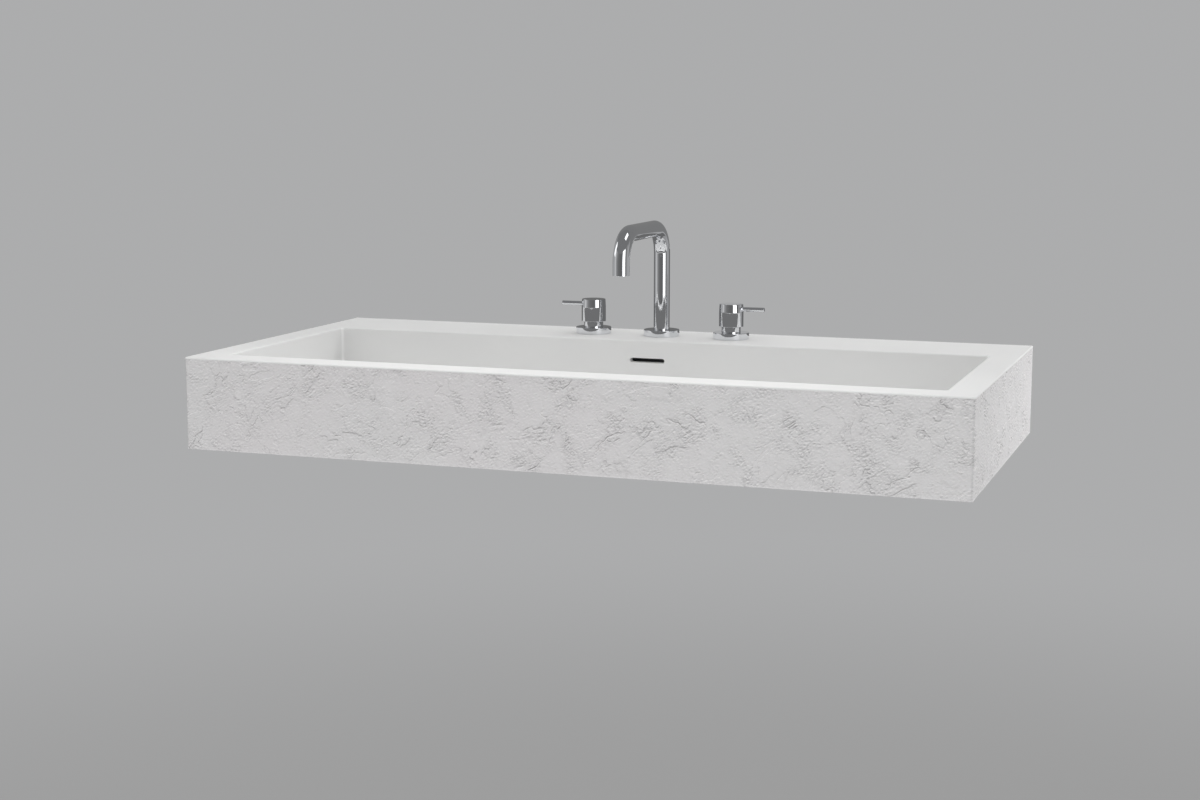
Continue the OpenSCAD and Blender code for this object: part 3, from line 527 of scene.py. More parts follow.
# The shell is one stack of rings, point k of each joined to point k of the next: out of the drain
# hole, over the floor, up the bowl, over the rim, down the edge and back under the deck
def makeBasin():
    b = basin
    middle = (b.bowlFront + bowlBack) / 2

    def bowlLoop(inset, corner):  # a loop inside the bowl's walls by inset, or outside if below 0
        return cornerLoop(bowlEnd - inset, b.bowlFront + inset, bowlBack - inset, corner, corner)

    def slabLoop(inset, back=0.0):  # a loop inside the slab's front and sides by inset
        return cornerLoop(b.wide - inset, b.front + inset, -back, max(b.cornerFront - inset, 0.3 * mm),
                          b.cornerBack)

    coveEdge = bowlLoop(b.cove, b.coveCorner)
    ways = coveEdge - (0, middle)
    ways /= np.linalg.norm(ways, axis=1)[:, None]

    def circle(radius):
        return ways * radius + (0, middle)

    rings = []

    def ring(loop, height):
        rings.append(np.column_stack([loop, np.broadcast_to(height, len(loop))]))

    under = -b.depth - b.floor
    ring(circle(b.hole), under)
    ring(circle(b.hole), -b.depth - b.recessDeep)
    ring(circle(b.recess), -b.depth - b.recessDeep)
    ring(circle(b.recess), -b.depth - b.lip)
    for angle in np.linspace(0.25, 1, 4) * turn / 4:  # the recess's rounded lip
        ring(circle(b.recess + b.lip * (1 - np.cos(angle))), -b.depth - b.lip * (1 - np.sin(angle)))
    start = circle(b.recess + 3 * b.lip)
    for t in np.linspace(0, 1, 16) ** 1.6:  # the floor, from a circle to the foot of the cove
        loop = start + t * (coveEdge - start)
        ring(loop, floorHeight(*loop.T))
    foot = floorHeight(*coveEdge.T)
    for angle in np.linspace(0, turn / 4, 11)[1:]:  # the cove, a quarter round up to the wall
        inset = b.cove * (1 - math.sin(angle))
        loop = bowlLoop(inset, b.bowlCorner + (b.coveCorner - b.bowlCorner) * inset / b.cove)
        ring(loop, foot + b.cove * (1 - math.cos(angle)))
    for angle in np.linspace(0, turn / 4, 9):  # the rim's fillet
        out = b.rimFillet * (1 - math.cos(angle))
        ring(bowlLoop(-out, b.bowlCorner + out), -b.rimFillet * (1 - math.sin(angle)))
    for angle in np.linspace(0, turn / 4, 7):  # the outer arris
        inset = b.arris * (1 - math.sin(angle))
        ring(slabLoop(inset, inset * 0.4), -b.arris * (1 - math.cos(angle)))
    ring(slabLoop(0), -1.5 * b.arris)
    ring(slabLoop(b.slab - 1.5 * b.arris), -b.slab)
    for inset, height in ((-b.wall - 2 * mm, -b.slab), (-b.wall, -b.slab - 2 * mm),
                          (-b.wall, 2 * mm - b.depth - b.floor),
                          (-b.wall + 0.6 * mm, 0.6 * mm - b.depth - b.floor), (-b.wall + 2 * mm, under)):
        ring(bowlLoop(inset, b.bowlCorner - inset), height)
    shell = Mesher().grid(np.array(rings) + (0, 0, deck), wrapRows=True).made("basinShell")
    hole = [(b.tapHole, -20 * mm), (b.tapHole, 5 * mm)]
    cutAway(shell, [*(cutter(turned(hole, 64, tapPlace(side))) for side in (-1, 0, 1)), slotCutter()], 28)
    settle(shell, "sink", "basin")


# The overflow's cutter: a slot outline, two half circles and two flats, grown by the flare of a
# quarter round where it meets the bowl's back wall
def slotCutter():
    b = basin
    flare, steps = b.slotFlare, 64
    angle = np.linspace(0, turn, steps, endpoint=False) + turn / steps / 2
    side = np.sign(np.cos(angle)) * (b.slotWide - b.slotHigh) / 2
    into = np.concatenate([[-3 * mm], np.linspace(0.0, flare, 7), [20 * mm]])
    ahead = flare - np.clip(into, 0.03 * flare, flare)
    radius = b.slotHigh / 2 + (flare - np.sqrt(np.clip(flare**2 - ahead**2, 0, None)))[:, None]
    return cutter(np.stack([side + radius * np.cos(angle),
                            np.repeat(bowlBack + into[:, None], steps, 1),
                            deck - b.slotDrop + radius * np.sin(angle)], -1))


makeBasin()
print("basin shell made")


# The textured aprons, one skin round the left side, the front and the right side

apron = Sizes(thick=12, high=120, top=-2.1, corner=4, arris=1.1, frontStep=1.38, sideStep=3.3,
              rowStep=1.42, middle=0.55, deepest=1.7, fade=2.2, endFade=3)
reliefShare = dict(side=0.7, back=0.3)  # of the front's relief, on the sides and at their backs
trowelled = dict(
    warp=12 * mm, warpCell=40 * mm, layerCell=85 * mm, patchCell=45 * mm, crackCell=75 * mm,
    roughCell=42 * mm, strokeCells=(5.6 * mm, 3.6 * mm), pitCell=5.2 * mm,
    levels=((-0.42, 0.24), (0.28, 0.3)), lip=0.18, grain=0.1, crack=0.25, pit=0.15)


# The relief's height, in metres, with masks of its rough patches and of painted shade in its
# cracks, pits and low grain. Trowelled layers: a warped noise is read as a map, the surface steps
# where the map crosses a level, and a lip stands there, a bell of the distance from the level.
# Cracks are a bell of another noise about 0. Rough patches are noise drawn out on a slant under a
# mask, and pits are a small noise's peaks.
def relief(s, z, bold):
    t = trowelled
    warpS = s + t["warp"] * cloudNoise(s, z, t["warpCell"], 11)
    warpZ = z + t["warp"] * cloudNoise(s, z, t["warpCell"], 21)
    layers = cloudNoise(warpS, warpZ * 1.5, t["layerCell"], 31)
    seen = smoothRise(0.0, 0.3, cloudNoise(s, z, t["patchCell"], 41, 2)) * bold
    height = 0.16 * cloudNoise(s, z, t["patchCell"], 51, 2)
    for level, step in t["levels"]:
        height += step * smoothRise(level - 0.02, level + 0.02, layers) * (0.2 + 0.8 * seen)
        height += t["lip"] * np.exp(-((layers - level - 0.04) / 0.025) ** 2) * seen
    cracked = smoothRise(0.15, 0.4, cloudNoise(s, z, t["patchCell"], 71, 2)) * bold
    veins = cloudNoise(warpS + 0.4, warpZ * 1.4, t["crackCell"], 61)
    crack = np.exp(-((veins / 0.028) ** 2)) * cracked
    worked = cloudNoise(warpS - 0.7, warpZ, t["roughCell"], 81) + 0.25 * abs(layers) - 0.1
    rough = smoothRise(-0.22, 0.42, worked)
    along, across = 0.78 * s + 0.62 * z, 0.78 * z - 0.62 * s
    large, small = t["strokeCells"]
    strokes = latticeNoise(along / 1.6, across, large, 91) + \
        0.8 * latticeNoise(along / 1.3, across, small, 92)
    grain = strokes * (0.2 + 0.8 * rough) * (0.5 + 0.5 * bold)
    pits = smoothRise(0.5, 0.75, latticeNoise(s, z, t["pitCell"], 95)) * rough
    height += t["grain"] * grain - t["crack"] * crack - t["pit"] * pits
    # Painted shade: darker in the cracks, in the pits and where the grain is low
    dark = np.clip(crack + pits + 0.5 * np.clip(-grain - 0.3, 0, 1), 0, 1)
    return mm * (height - height.mean()), rough * (0.5 + 0.5 * bold), dark


# The skin: at each place along the outer edge's path, an outline of the panel's section stands
# on the path's normal. Point = path + normal * offset, height = the section's height.
def makeApron():
    a, b = apron, basin
    sideLong, frontLong = -b.front - a.corner, 2 * (b.wide - a.corner)
    arc = a.corner * turn / 4
    starts = np.cumsum([0, sideLong, arc, frontLong, arc, sideLong])
    total = starts[-1]
    half = np.concatenate([np.array([0, 0.35, 1.0]) * mm,
                           np.linspace(1.0 * mm, sideLong, int(sideLong / a.sideStep))[1:],
                           sideLong + np.linspace(0, arc, 9)[1:]])
    front = np.linspace(0, frontLong, int(frontLong / a.frontStep))[1:-1]
    s = np.concatenate([half, starts[2] + front, total - half[::-1]])
    # how far the path has gone down the left side, round an arc, along the front, round an arc and
    # back up the right side
    left, first, along, second, right = (np.clip(s - start, 0, end - start)
                                         for start, end in zip(starts, starts[1:]))
    heading = (first + second) / a.corner  # 0 along the left side, a quarter turn along the front
    nx, ny = -np.cos(heading), -np.sin(heading)
    cx, cy = -b.wide + a.corner + along, right - left  # on an arc, its centre
    rows = np.linspace(a.top, a.arris - a.high, int(a.high / a.rowStep))
    angle = np.linspace(0, turn / 4, 5)[1:]
    lower = np.stack([a.arris * (1 - np.cos(angle)), a.arris * (1 - np.sin(angle)) - a.high], -1)
    face = np.concatenate([np.stack([rows * 0, rows], -1), lower])
    back = np.array([(a.thick - 0.5 * mm, -a.high), (a.thick, 0.5 * mm - a.high),
                     (a.thick, -60 * mm), (a.thick, -b.slab - 0.2 * mm)])
    section = np.concatenate([face, back])
    inset, height = section[:, :1], section[:, 1:]
    height0 = height[: len(face)]
    # bolder away from the front's left third
    bold = 0.3 + 0.7 * smoothRise(0.12, 0.5, (s - starts[2]) / frontLong)
    raised, rough, dark = relief(s[None, :], height0, bold[None, :])
    stops = np.array([0, 0.3 * sideLong, sideLong, sideLong + arc])
    shares = [reliefShare["back"], reliefShare["side"], reliefShare["side"], 1]
    share = np.interp(s, [*stops, *(total - stops[::-1])], shares + shares[::-1])
    toEnd = np.minimum(s, total - s)[None, :]
    fade = smoothRise(0, a.fade, a.top - height0) * smoothRise(0, a.fade, height0 + a.high) * \
        smoothRise(0, a.endFade, toEnd)  # none at the skin's edges
    depth = np.clip(a.middle - raised * share, 0, a.deepest) * fade
    fullDepth = np.zeros((len(section), len(s)))
    fullDepth[: len(face)] = depth
    offset = a.corner - inset - fullDepth
    # the panel's ends are rounded over at the back
    endInset = 0.6 * mm * (1 - smoothRise(0, 1.0 * mm, toEnd))
    offset = offset - endInset * (inset < 2 * mm)
    x, y = cx + nx * offset, cy + ny * offset
    inner = inset >= a.thick - 0.6 * mm  # the flat inner face is mitred, not rounded
    x = np.where(inner, np.clip(x, inset - b.wide, b.wide - inset), x)
    y = np.minimum(np.where(inner, np.maximum(y, b.front + inset), y), 0)
    points = np.stack([x, y, np.broadcast_to(height, x.shape) + deck], -1)
    # Where the painted highlight of the bottom arris and the back ends goes
    nearEdge = np.minimum(a.high + height0, toEnd)
    # Painted shade on the front corners, where the arc catches light
    arcs = np.sin(2 * heading) ** 2  # 1 in the middle of the front corners, which are dark
    # The dark mark is painted shade in cracks, pits, low grain and the front corners
    masks = {"dark": np.maximum(dark * share * fade, arcs), "rough": rough,
             "edge": 1 - smoothRise(0.6 * mm, 2.2 * mm, nearEdge)}
    mesher = Mesher().grid(points, wrapRows=True, wrapColumns=False)
    # flat ends at the back: the section's ring drawn in to its middle
    for column in (0, -1):
        ring = points[:, column][None]
        mesher.grid(np.concatenate([ring, ring * 0 + ring.mean(1, keepdims=True)]))
    # the masks are 0 on the rest of the section and on the ends
    marks = {mark: np.pad(mask.ravel(), (0, mesher.total - mask.size)) for mark, mask in masks.items()}
    settle(mesher.made("apronSkin", marks, 50), "sink", "apron_front", "apron_left", "apron_right")


makeApron()
print("apron skin made")


# The tap: spout, flanges, collars, handles and levers. The barrel draws in above its crease.

tap = Sizes(
    spoutR=11.25, spoutInner=9.25, base=5.3, bend=38, axisHigh=152.75, reach=176, outlet=99, lip=0.5,
    aeratorThick=1.5, aeratorHigh=13, aeratorUp=0.8,
    flangeR=25, flangeHigh=9, flangeTop=3, flangeInner=22.3, flangeArris=0.7,
    collarR=13.5, collarInner=12, collarLow=5, collarHigh=22,
    handleR=17.25, handleLow=17, handleHigh=48.7, handleArris=0.7, skirt=3, hollow=30,
    crease=37.6, creaseR=26, draft=0.6,
    leverR=3, leverIn=8.75, leverOut=47.5, leverHigh=41.6, grubR=2, grubHigh=33.6)


# The spout: a circle carried along a line that goes up, bends forward, runs level and bends down.
# Point = line + radius * (cosine * the bend's normal + sine * X). The wall is the same line with a
# smaller circle, and the two are joined by rounded lips.
def makeSpout():
    t = tap
    bend = t.bend
    runs = [t.axisHigh - bend - t.base, bend * turn / 4, t.reach - 2 * bend, bend * turn / 4,
            t.axisHigh - bend - t.outlet]
    starts = np.cumsum([0, *runs])
    total = starts[-1]
    stations = np.concatenate([[0], *(start + np.linspace(0, run, steps)[1:] for start, run, steps
                                      in zip(starts, runs, (12, 33, 12, 33, 5)))])
    inner = stations[(stations > t.lip) & (stations < total - t.lip)]
    angle = np.linspace(0, turn / 4, 6)
    near, far = t.lip * (1 - np.sin(angle)), t.lip * (1 - np.cos(angle))
    lipOut, lipIn = (total - near, t.spoutR - far), (total - far, t.spoutInner + near)
    s = np.concatenate([inner, lipOut[0], lipIn[0], inner[::-1], total - lipIn[0][::-1],
                        total - lipOut[0][::-1]])
    radius = np.concatenate([inner * 0 + t.spoutR, lipOut[1], lipIn[1], inner * 0 + t.spoutInner,
                             lipIn[1][::-1], lipOut[1][::-1]])
    up, first, level, second, down = (np.clip(s - start, 0, run) for start, run in zip(starts, runs))
    first, second = first / bend, second / bend
    forward = bend * (1 - np.cos(first)) + level + bend * np.sin(second)
    rise = up + bend * np.sin(first) - bend * (1 - np.cos(second)) - down
    heading, r = (first + second)[:, None], radius[:, None]
    around = np.linspace(0, turn, 80, endpoint=False)[None, :]
    points = np.stack([r * np.sin(around) + heading * 0,
                       tapLine - forward[:, None] + r * np.cos(around) * np.cos(heading),
                       deck + t.base + rise[:, None] + r * np.cos(around) * np.sin(heading)], -1)
    gathered("spoutTube", [points], "spout_tube", "spout")


# A cover plate's section: a flat ring with a skirt down to the deck
def flangeCorners(inner):
    t = tap
    ceiling = t.flangeHigh - t.flangeTop
    return [(inner, ceiling), (t.flangeInner, ceiling), (t.flangeInner, 0), (t.flangeR, 0, 0.3 * mm),
            (t.flangeR, t.flangeHigh, t.flangeArris), (inner, t.flangeHigh, 0.3 * mm)]


# One handle with its flange, collar and lever, on the side -1 or 1: turned sections, the lever's
# along X, and a hole for the grub screw cut into the barrel's back
def makeHandle(side, word, body, way):
    t = tap
    at = tapPlace(side)
    turnedPiece(f"flange_{word}Cover", flangeCorners(t.collarR + 0.1 * mm), at, "sink",
                f"flange_{word}", steps=160)
    sleeve = [(t.collarInner, t.collarLow), (t.collarR, t.collarLow),
              (t.collarR, t.collarHigh, 0.5 * mm), (t.collarInner, t.collarHigh)]
    turnedPiece(f"collar_{word}Sleeve", sleeve, at, "sink", f"collar_{word}")
    barrel = [(0, t.hollow), (t.handleR - t.skirt, t.hollow), (t.handleR - t.skirt, t.handleLow),
              (t.handleR, t.handleLow, t.handleArris), (t.handleR, t.crease, t.creaseR),
              (t.handleR - t.draft, t.handleHigh, t.handleArris), (0, t.handleHigh)]
    handle = Mesher().grid(turned(barrel, 144, at, closed=False)).made(f"handle_{word}Barrel")
    bore = turned([(t.grubR, 10 * mm), (t.grubR, 25 * mm)], 32, tapPlace(side, t.grubHigh), "y")
    settle(cutAway(handle, [cutter(bore)]), body, f"handle_{word}")
    rod = [(0, t.leverIn), (t.leverR, t.leverIn), (t.leverR, t.leverOut, 0.8 * mm), (0, t.leverOut)]
    turnedPiece(f"lever_{word}Rod", rod, tapPlace(side, t.leverHigh), body, f"lever_{word}",
                steps=48, along=way, closed=False)


# A short sleeve in the spout's outlet holds the aerator
def makeAerator():
    t = tap
    inside = t.spoutInner - t.aeratorThick
    sleeve = [(inside, 0, 0.3 * mm), (t.spoutInner, 0), (t.spoutInner, t.aeratorHigh),
              (inside, t.aeratorHigh)]
    turnedPiece("aeratorHousing", sleeve, (0, tapLine - t.reach, deck + t.outlet + t.aeratorUp),
                "spout", "aerator_housing", steps=96)


makeSpout()
turnedPiece("spoutFlange", flangeCorners(tap.spoutR + 0.3 * mm), tapPlace(), "sink", "spout_flange",
            steps=160)
makeAerator()
makeHandle(-1, "left", "hot_handle", "-x")
makeHandle(1, "right", "cold_handle", "x")
print("tap made")


# What is under the deck and under the bowl: valves, tee, pipes, nuts, washers and drain

under = Sizes(
    pitch=1.6, threadDeep=0.75, shankR=14.5, blockR=16, blockTop=-40, blockLow=-76,
    footR=22, footLow=1, footTop=5, neckR=12, neckTop=18, inletR=10.48, inletLow=-96, inletPitch=1.81,
    inletDeep=0.9, pocketR=9.6, pocketLow=-64, waterR=5,
    portR=9, portEnd=31, portSeat=23, portPitch=1.2, portDeep=0.5, pipeR=6, pipeWall=1.2, pipeDrop=-56,
    spoutShankR=13.2, shankLow=-48, shankBore=11, stemBore=8.05, stemSeat=-33.7, shankPitch=1.5,
    shankDeep=0.7, teeR=17, teeTop=-36, teeLow=-70, teeFloor=4, teeWell=10)


# A thread for turned, between two heights of a run of one radius
def threadOn(radius, low, high, pitch, depth):
    return dict(radius=radius, low=low, high=high, pitch=pitch, depth=depth)


# A port on a valve or tee: a turned sleeve with a seat for the pipe, its root inside the body
def portGrid(side, along, root):
    u = under
    bore, seat = u.pipeR - u.pipeWall, u.pipeR + 0.1 * mm
    sleeve = [(bore, root), (u.portR, root), (u.portR, u.portEnd, 0.6 * mm),
              (seat, u.portEnd, 0.3 * mm), (seat, u.portSeat), (bore, u.portSeat)]
    thread = threadOn(u.portR, u.portSeat - 1 * mm, u.portEnd - 0.8 * mm, u.portPitch, u.portDeep)
    return turned(sleeve, 72, tapPlace(side, u.pipeDrop), along, thread)


# Valve bodies: turned about the handle's axis, with a port turned about the pipe's
def makeValves():
    u = under
    corners = [
        (u.pocketR, u.neckTop), (u.pocketR, u.pocketLow), (u.waterR, u.pocketLow),
        (u.waterR, u.inletLow, 0.3 * mm), (u.inletR, u.inletLow, 1.0 * mm), (u.inletR, u.blockLow),
        (u.blockR, u.blockLow, 1.2 * mm), (u.blockR, u.blockTop, 1.2 * mm), (u.shankR, u.blockTop),
        (u.shankR, u.footLow), (u.footR, u.footLow), (u.footR, u.footTop, 0.5 * mm),
        (u.neckR, u.footTop), (u.neckR, u.neckTop, 0.4 * mm)]
    threads = (threadOn(u.shankR, u.blockTop + 1 * mm, -1 * mm, u.pitch, u.threadDeep),
               threadOn(u.inletR, u.inletLow + 0.9 * mm, u.blockLow - 0.5 * mm, u.inletPitch, u.inletDeep))
    for side, word, way in ((-1, "left", "x"), (1, "right", "-x")):
        body = turned(corners, 112, tapPlace(side), "z", *threads)
        gathered(f"valve_{word}Casting", [body, portGrid(side, way, 6 * mm)], f"valve_body_{word}")


stack = Sizes(gasket=1, rubberLow=-14.5, rubberTop=-12, steelLow=-16, nutLow=-24, valveFlats=38,
              spoutFlats=36)


# The stack under each tap: gasket, rubber washer, steel washer and lock nut. The spout's shank.
def makeStacks():
    u, k = under, stack
    for word, sides, ending, shank, flats in (("valve", (-1, 1), "s", u.shankR, k.valveFlats),
                                              ("spout", (0,), "", u.spoutShankR, k.spoutFlats)):
        hole = shank + 0.1 * mm
        for part, low, high, rounding in (("gasket", 0, k.gasket, 0.3 * mm),
                                          ("rubber_washer", k.rubberLow, k.rubberTop, 0.9 * mm),
                                          ("steel_washer", k.steelLow, k.rubberLow, 0.25 * mm)):
            node = f"{word}_{part}{ending}"
            corners = ringCorners(u.footR, hole, low, high, rounding)
            gathered(node + "Rings", [turned(corners, 96, tapPlace(side)) for side in sides], node)
        nuts = [hexNut(flats, shank, k.nutLow, k.steelLow, tapPlace(side)) for side in sides]
        gathered(f"{word}_nut{ending}Cut", nuts, f"{word}_nut{ending}")
    corners = [
        (u.shankBore, u.shankLow), (u.spoutShankR, u.shankLow, 0.8 * mm), (u.spoutShankR, u.footLow),
        (u.footR, u.footLow), (u.footR, u.footTop, 0.5 * mm), (u.stemBore, u.footTop, 0.3 * mm),
        (u.stemBore, u.stemSeat), (u.shankBore, u.stemSeat)]
    thread = threadOn(u.spoutShankR, u.shankLow + 0.8 * mm, -1 * mm, u.shankPitch, u.shankDeep)
    gathered("spoutShankThreaded", [turned(corners, 112, tapPlace(), "z", thread)], "spout_shank")


# Each nut's two ends along the pipe, its bores there and where it steps from one to the other
pipeNut = Sizes(flats=22, nearLow=23, nearHigh=37, nearStep=31, farLow=64.6, farHigh=78.6, farStep=70.6)


# The tee under the spout with a groove round it, the two pipes to the valves and their four nuts
def makeCrossing():
    u, n = under, pipeNut
    grooveR = u.teeR - 0.5 * mm
    tee = [
        (0, u.teeLow + u.teeFloor), (u.teeWell, u.teeLow + u.teeFloor), (u.teeWell, u.shankLow),
        (u.spoutShankR, u.shankLow), (u.spoutShankR, u.teeTop), (u.teeR, u.teeTop, 0.8 * mm),
        (u.teeR, u.teeTop - 6 * mm, 0.3 * mm), (grooveR, u.teeTop - 6.5 * mm),
        (grooveR, u.teeTop - 8 * mm), (u.teeR, u.teeTop - 8.5 * mm, 0.3 * mm),
        (u.teeR, u.teeLow, 2.2 * mm), (0, u.teeLow)]
    mesher = Mesher().grid(turned(tee, 112, tapPlace(), closed=False))
    for way in ("x", "-x"):
        mesher.grid(portGrid(0, way, 12 * mm), wrapRows=True)
    settle(mesher.made("mixingTeeCasting"), "sink", "mixing_tee")
    line = tapPlace(0, u.pipeDrop)
    tube = ringCorners(u.pipeR, u.pipeR - u.pipeWall, u.portSeat, tapPitch - u.portSeat)
    for word, way in (("left", "-x"), ("right", "x")):
        gathered(f"pipe_{word}Drawn", [turned(tube, 64, line, way)], f"pipe_{word}")
    hole = u.pipeR + 0.1 * mm
    nuts = [hexNut(n.flats, bore, low, high, line, way, far, step) for way in ("x", "-x")
            for bore, low, high, far, step in ((u.portR, n.nearLow, n.nearHigh, hole, n.nearStep),
                                               (hole, n.farLow, n.farHigh, u.portR, n.farStep))]
    gathered("pipeNutsCut", nuts, "pipe_nuts")


# A bar with a rounded section carried along the first axis of its frame, which is turned by the
# angle about the drain's axis, closed at both ends
def bar(wide, low, high, start, end, rounding, angle):
    y, z = roundedPath(ringCorners(wide / 2, -wide / 2, low, high, rounding)).T
    x = np.array([start, end])[:, None] + 0 * y
    c, s = math.cos(angle), math.sin(angle)
    return capped(np.stack([c * x - s * y, s * x + c * y, z + 0 * x], -1) + np.array(drainPlace))


drain = Sizes(
    flangeR=31.5, flangeThick=2.5, seatR=23.3, seatDeep=1.5, bore=18, neckR=20.2, threadR=20.95,
    threadTop=-19, grooveTop=-36, grooveHigh=2, grooveDeep=1, low=-75, pitch=2.2, threadDeep=1,
    windowWide=14, windowTop=-10, windowReach=26, washerR=29, holeR=22.5, upperLow=-3.5, lowerTop=-22,
    lowerLow=-25, washerLow=-26.5, nutLow=-36, nutFlats=50,
    guideLow=-44, guideHigh=-37, guideR=7.5, guideBore=4.05, armWide=3, armIn=7, armOut=19)
plug = Sizes(capR=29, capLow=0.3, capEdge=1.8, crownR=23, crown=3.3, crownRounding=12, sealR=23, sealInner=19,
             sealLow=-1.2, stemR=4, stemLow=-58)


# The drain: a turned body with two windows cut across it, a guide on four arms for the plug's stem,
# flat rings, a back nut, and the plug's cap, seal and stem, all turned about one axis
def makeDrain():
    d, p = drain, plug
    groove, grooveR = d.grooveTop - d.grooveHigh, d.threadR - d.grooveDeep
    body = [
        (d.bore, d.low, 0.4 * mm), (d.threadR, d.low, 1.0 * mm), (d.threadR, groove), (grooveR, groove),
        (grooveR, d.grooveTop), (d.threadR, d.grooveTop), (d.threadR, d.threadTop),
        (d.neckR, d.threadTop), (d.neckR, -d.flangeThick), (d.flangeR, -d.flangeThick),
        (d.flangeR, 0, 1.1 * mm), (d.seatR, 0, 0.4 * mm), (d.seatR, -d.seatDeep, 0.3 * mm),
        (d.bore, -d.seatDeep, 0.5 * mm)]
    thread = threadOn(d.threadR, d.low + 1 * mm, d.threadTop, d.pitch, d.threadDeep)
    piece = Mesher().grid(turned(body, 128, drainPlace, "z", thread), wrapRows=True).made("drainBodyCut")
    windows = [bar(d.windowWide, d.threadTop, d.windowTop, -d.windowReach, d.windowReach, 2 * mm, angle)
               for angle in (0, turn / 4)]
    cutAway(piece, [Mesher().grid(window).made("cutter") for window in windows])
    guide = ringCorners(d.guideR, d.guideBore, d.guideLow, d.guideHigh, 0.5 * mm)
    mesher = Mesher().grid(turned(guide, 64, drainPlace), wrapRows=True)
    for quarter in range(4):
        mesher.grid(bar(d.armWide, d.guideLow, d.guideHigh, d.armIn, d.armOut, 0.5 * mm,
                        turn / 8 + quarter * turn / 4))
    settle(mesher.made("drainGuide"), "sink", "drain_body")
    settle(piece, "sink", "drain_body")
    for node, body, outer, inner, low, high, rounding in (
            ("drain_upper_seal", "sink", d.flangeR, d.holeR, d.upperLow, -d.flangeThick, 0.3 * mm),
            ("drain_lower_seal", "sink", d.washerR, d.threadR, d.lowerLow, d.lowerTop, 1.0 * mm),
            ("drain_washer", "sink", d.washerR, d.threadR + 0.1 * mm, d.washerLow, d.lowerLow, 0.3 * mm),
            ("plug_seal", "plug", p.sealR, p.sealInner, p.sealLow, p.capLow, 0.45 * mm)):
        turnedPiece(node + "Ring", ringCorners(outer, inner, low, high, rounding), drainPlace, body, node)
    nut = hexNut(d.nutFlats, d.threadR, d.nutLow, d.washerLow, drainPlace, steps=144)
    gathered("drainNutCut", [nut], "drain_nut")
    cap = [(0, p.capLow), (p.capR, p.capLow, 0.3 * mm), (p.capR, p.capEdge, 0.9 * mm),
           (p.crownR, p.crown, p.crownRounding), (0, p.crown)]
    turnedPiece("plugCapTurned", cap, drainPlace, "plug", "plug_cap", closed=False)
    stem = [(0, p.stemLow), (p.stemR, p.stemLow, 1.2 * mm), (p.stemR, p.capLow), (0, p.capLow)]
    turnedPiece("plugStemTurned", stem, drainPlace, "plug", "plug_stem", steps=48, closed=False)


screws = Sizes(right=330, back=-180, front=-390, low=-101, faceR=3.6, headR=5.5, headTop=-97, shaftR=3,
               tip=-83, pitch=1, threadDeep=0.45, socketR=2.5, socketTop=-98, socketCone=-97.6,
               bevel=0.3)


# Socket screws: rings of radius by angle, where the socket's rings are hexagons
def makeScrews():
    k = screws
    angle = np.linspace(0, turn, 48, endpoint=False)
    hexagon = k.socketR / np.cos(angle % (turn / 6) - turn / 12)
    corners = [(k.faceR, k.low), (k.headR, k.low, 0.6 * mm), (k.headR, k.headTop, 0.2 * mm),
               (k.shaftR, k.headTop), (k.shaftR, k.tip, 0.6 * mm), (0, k.tip)]
    socket = [spun(r, angle, z) for r, z in (
        (hexagon * 0, k.socketCone), (hexagon, k.socketTop), (hexagon, k.low + k.bevel),
        (hexagon + k.bevel, k.low))]
    thread = threadOn(k.shaftR, k.headTop + 1 * mm, k.tip - 0.6 * mm, k.pitch, k.threadDeep)
    mesher = Mesher()
    for x in (-k.right, k.right):
        for y in (k.back, k.front):
            shaft = turned(corners, 48, (x, y, deck), "z", thread, closed=False)
            mesher.grid(np.concatenate([placed(socket, (x, y, deck), "z"), shaft]))
    settle(mesher.made("bracketScrewsCut"), "sink", "bracket_screws")


makeValves()
makeStacks()
makeCrossing()
makeDrain()
makeScrews()
print("underside made")


# CAD nodes that stay get their looks. Flat-sided ones also get soft edges from live modifiers.
edges = Sizes(support_blocks=1.0, overflow_duct=0.8, bracket_left=0.8, bracket_right=0.8)


def dressNode(name, bevel):
    node, material = nodes[name], looks[slotOf[name]].material
    if not node.material_slots:
        node.data.materials.append(material)
    for held in node.material_slots:
        held.material = material
    if bevel:
        node.modifiers.new("weld", "WELD").merge_threshold = 1e-6
        flat = node.modifiers.new("flat", "DECIMATE")
        flat.decimate_type, flat.angle_limit = "DISSOLVE", math.radians(1)
        soft = node.modifiers.new("soft", "BEVEL")
        soft.width, soft.segments = bevel, 3
        soft.limit_method, soft.angle_limit = "ANGLE", math.radians(40)
        normals = node.modifiers.new("weightedNormals", "WEIGHTED_NORMAL")
        normals.keep_sharp, normals.weight = False, 75


for name in nodes:
    if not nodes[name].hide_render:
        dressNode(name, edges.get(name, 0.0))
print("other nodes dressed")


# Camera, lights and stage

camera = dict(place=(0.8359, -2.6714, 0.3843), turned=(81.2754, -0.0368, 19.5831), lens=58.65,
              filmWide=36, far=60)
cameraObject = bpy.data.objects.new("camera", bpy.data.cameras.new("camera"))
scene.collection.objects.link(cameraObject)
cameraObject.location = camera["place"]
cameraObject.rotation_euler = [math.radians(angle) for angle in camera["turned"]]
cameraObject.data.lens, cameraObject.data.sensor_width = camera["lens"], camera["filmWide"]
cameraObject.data.clip_end = camera["far"]
scene.camera = cameraObject

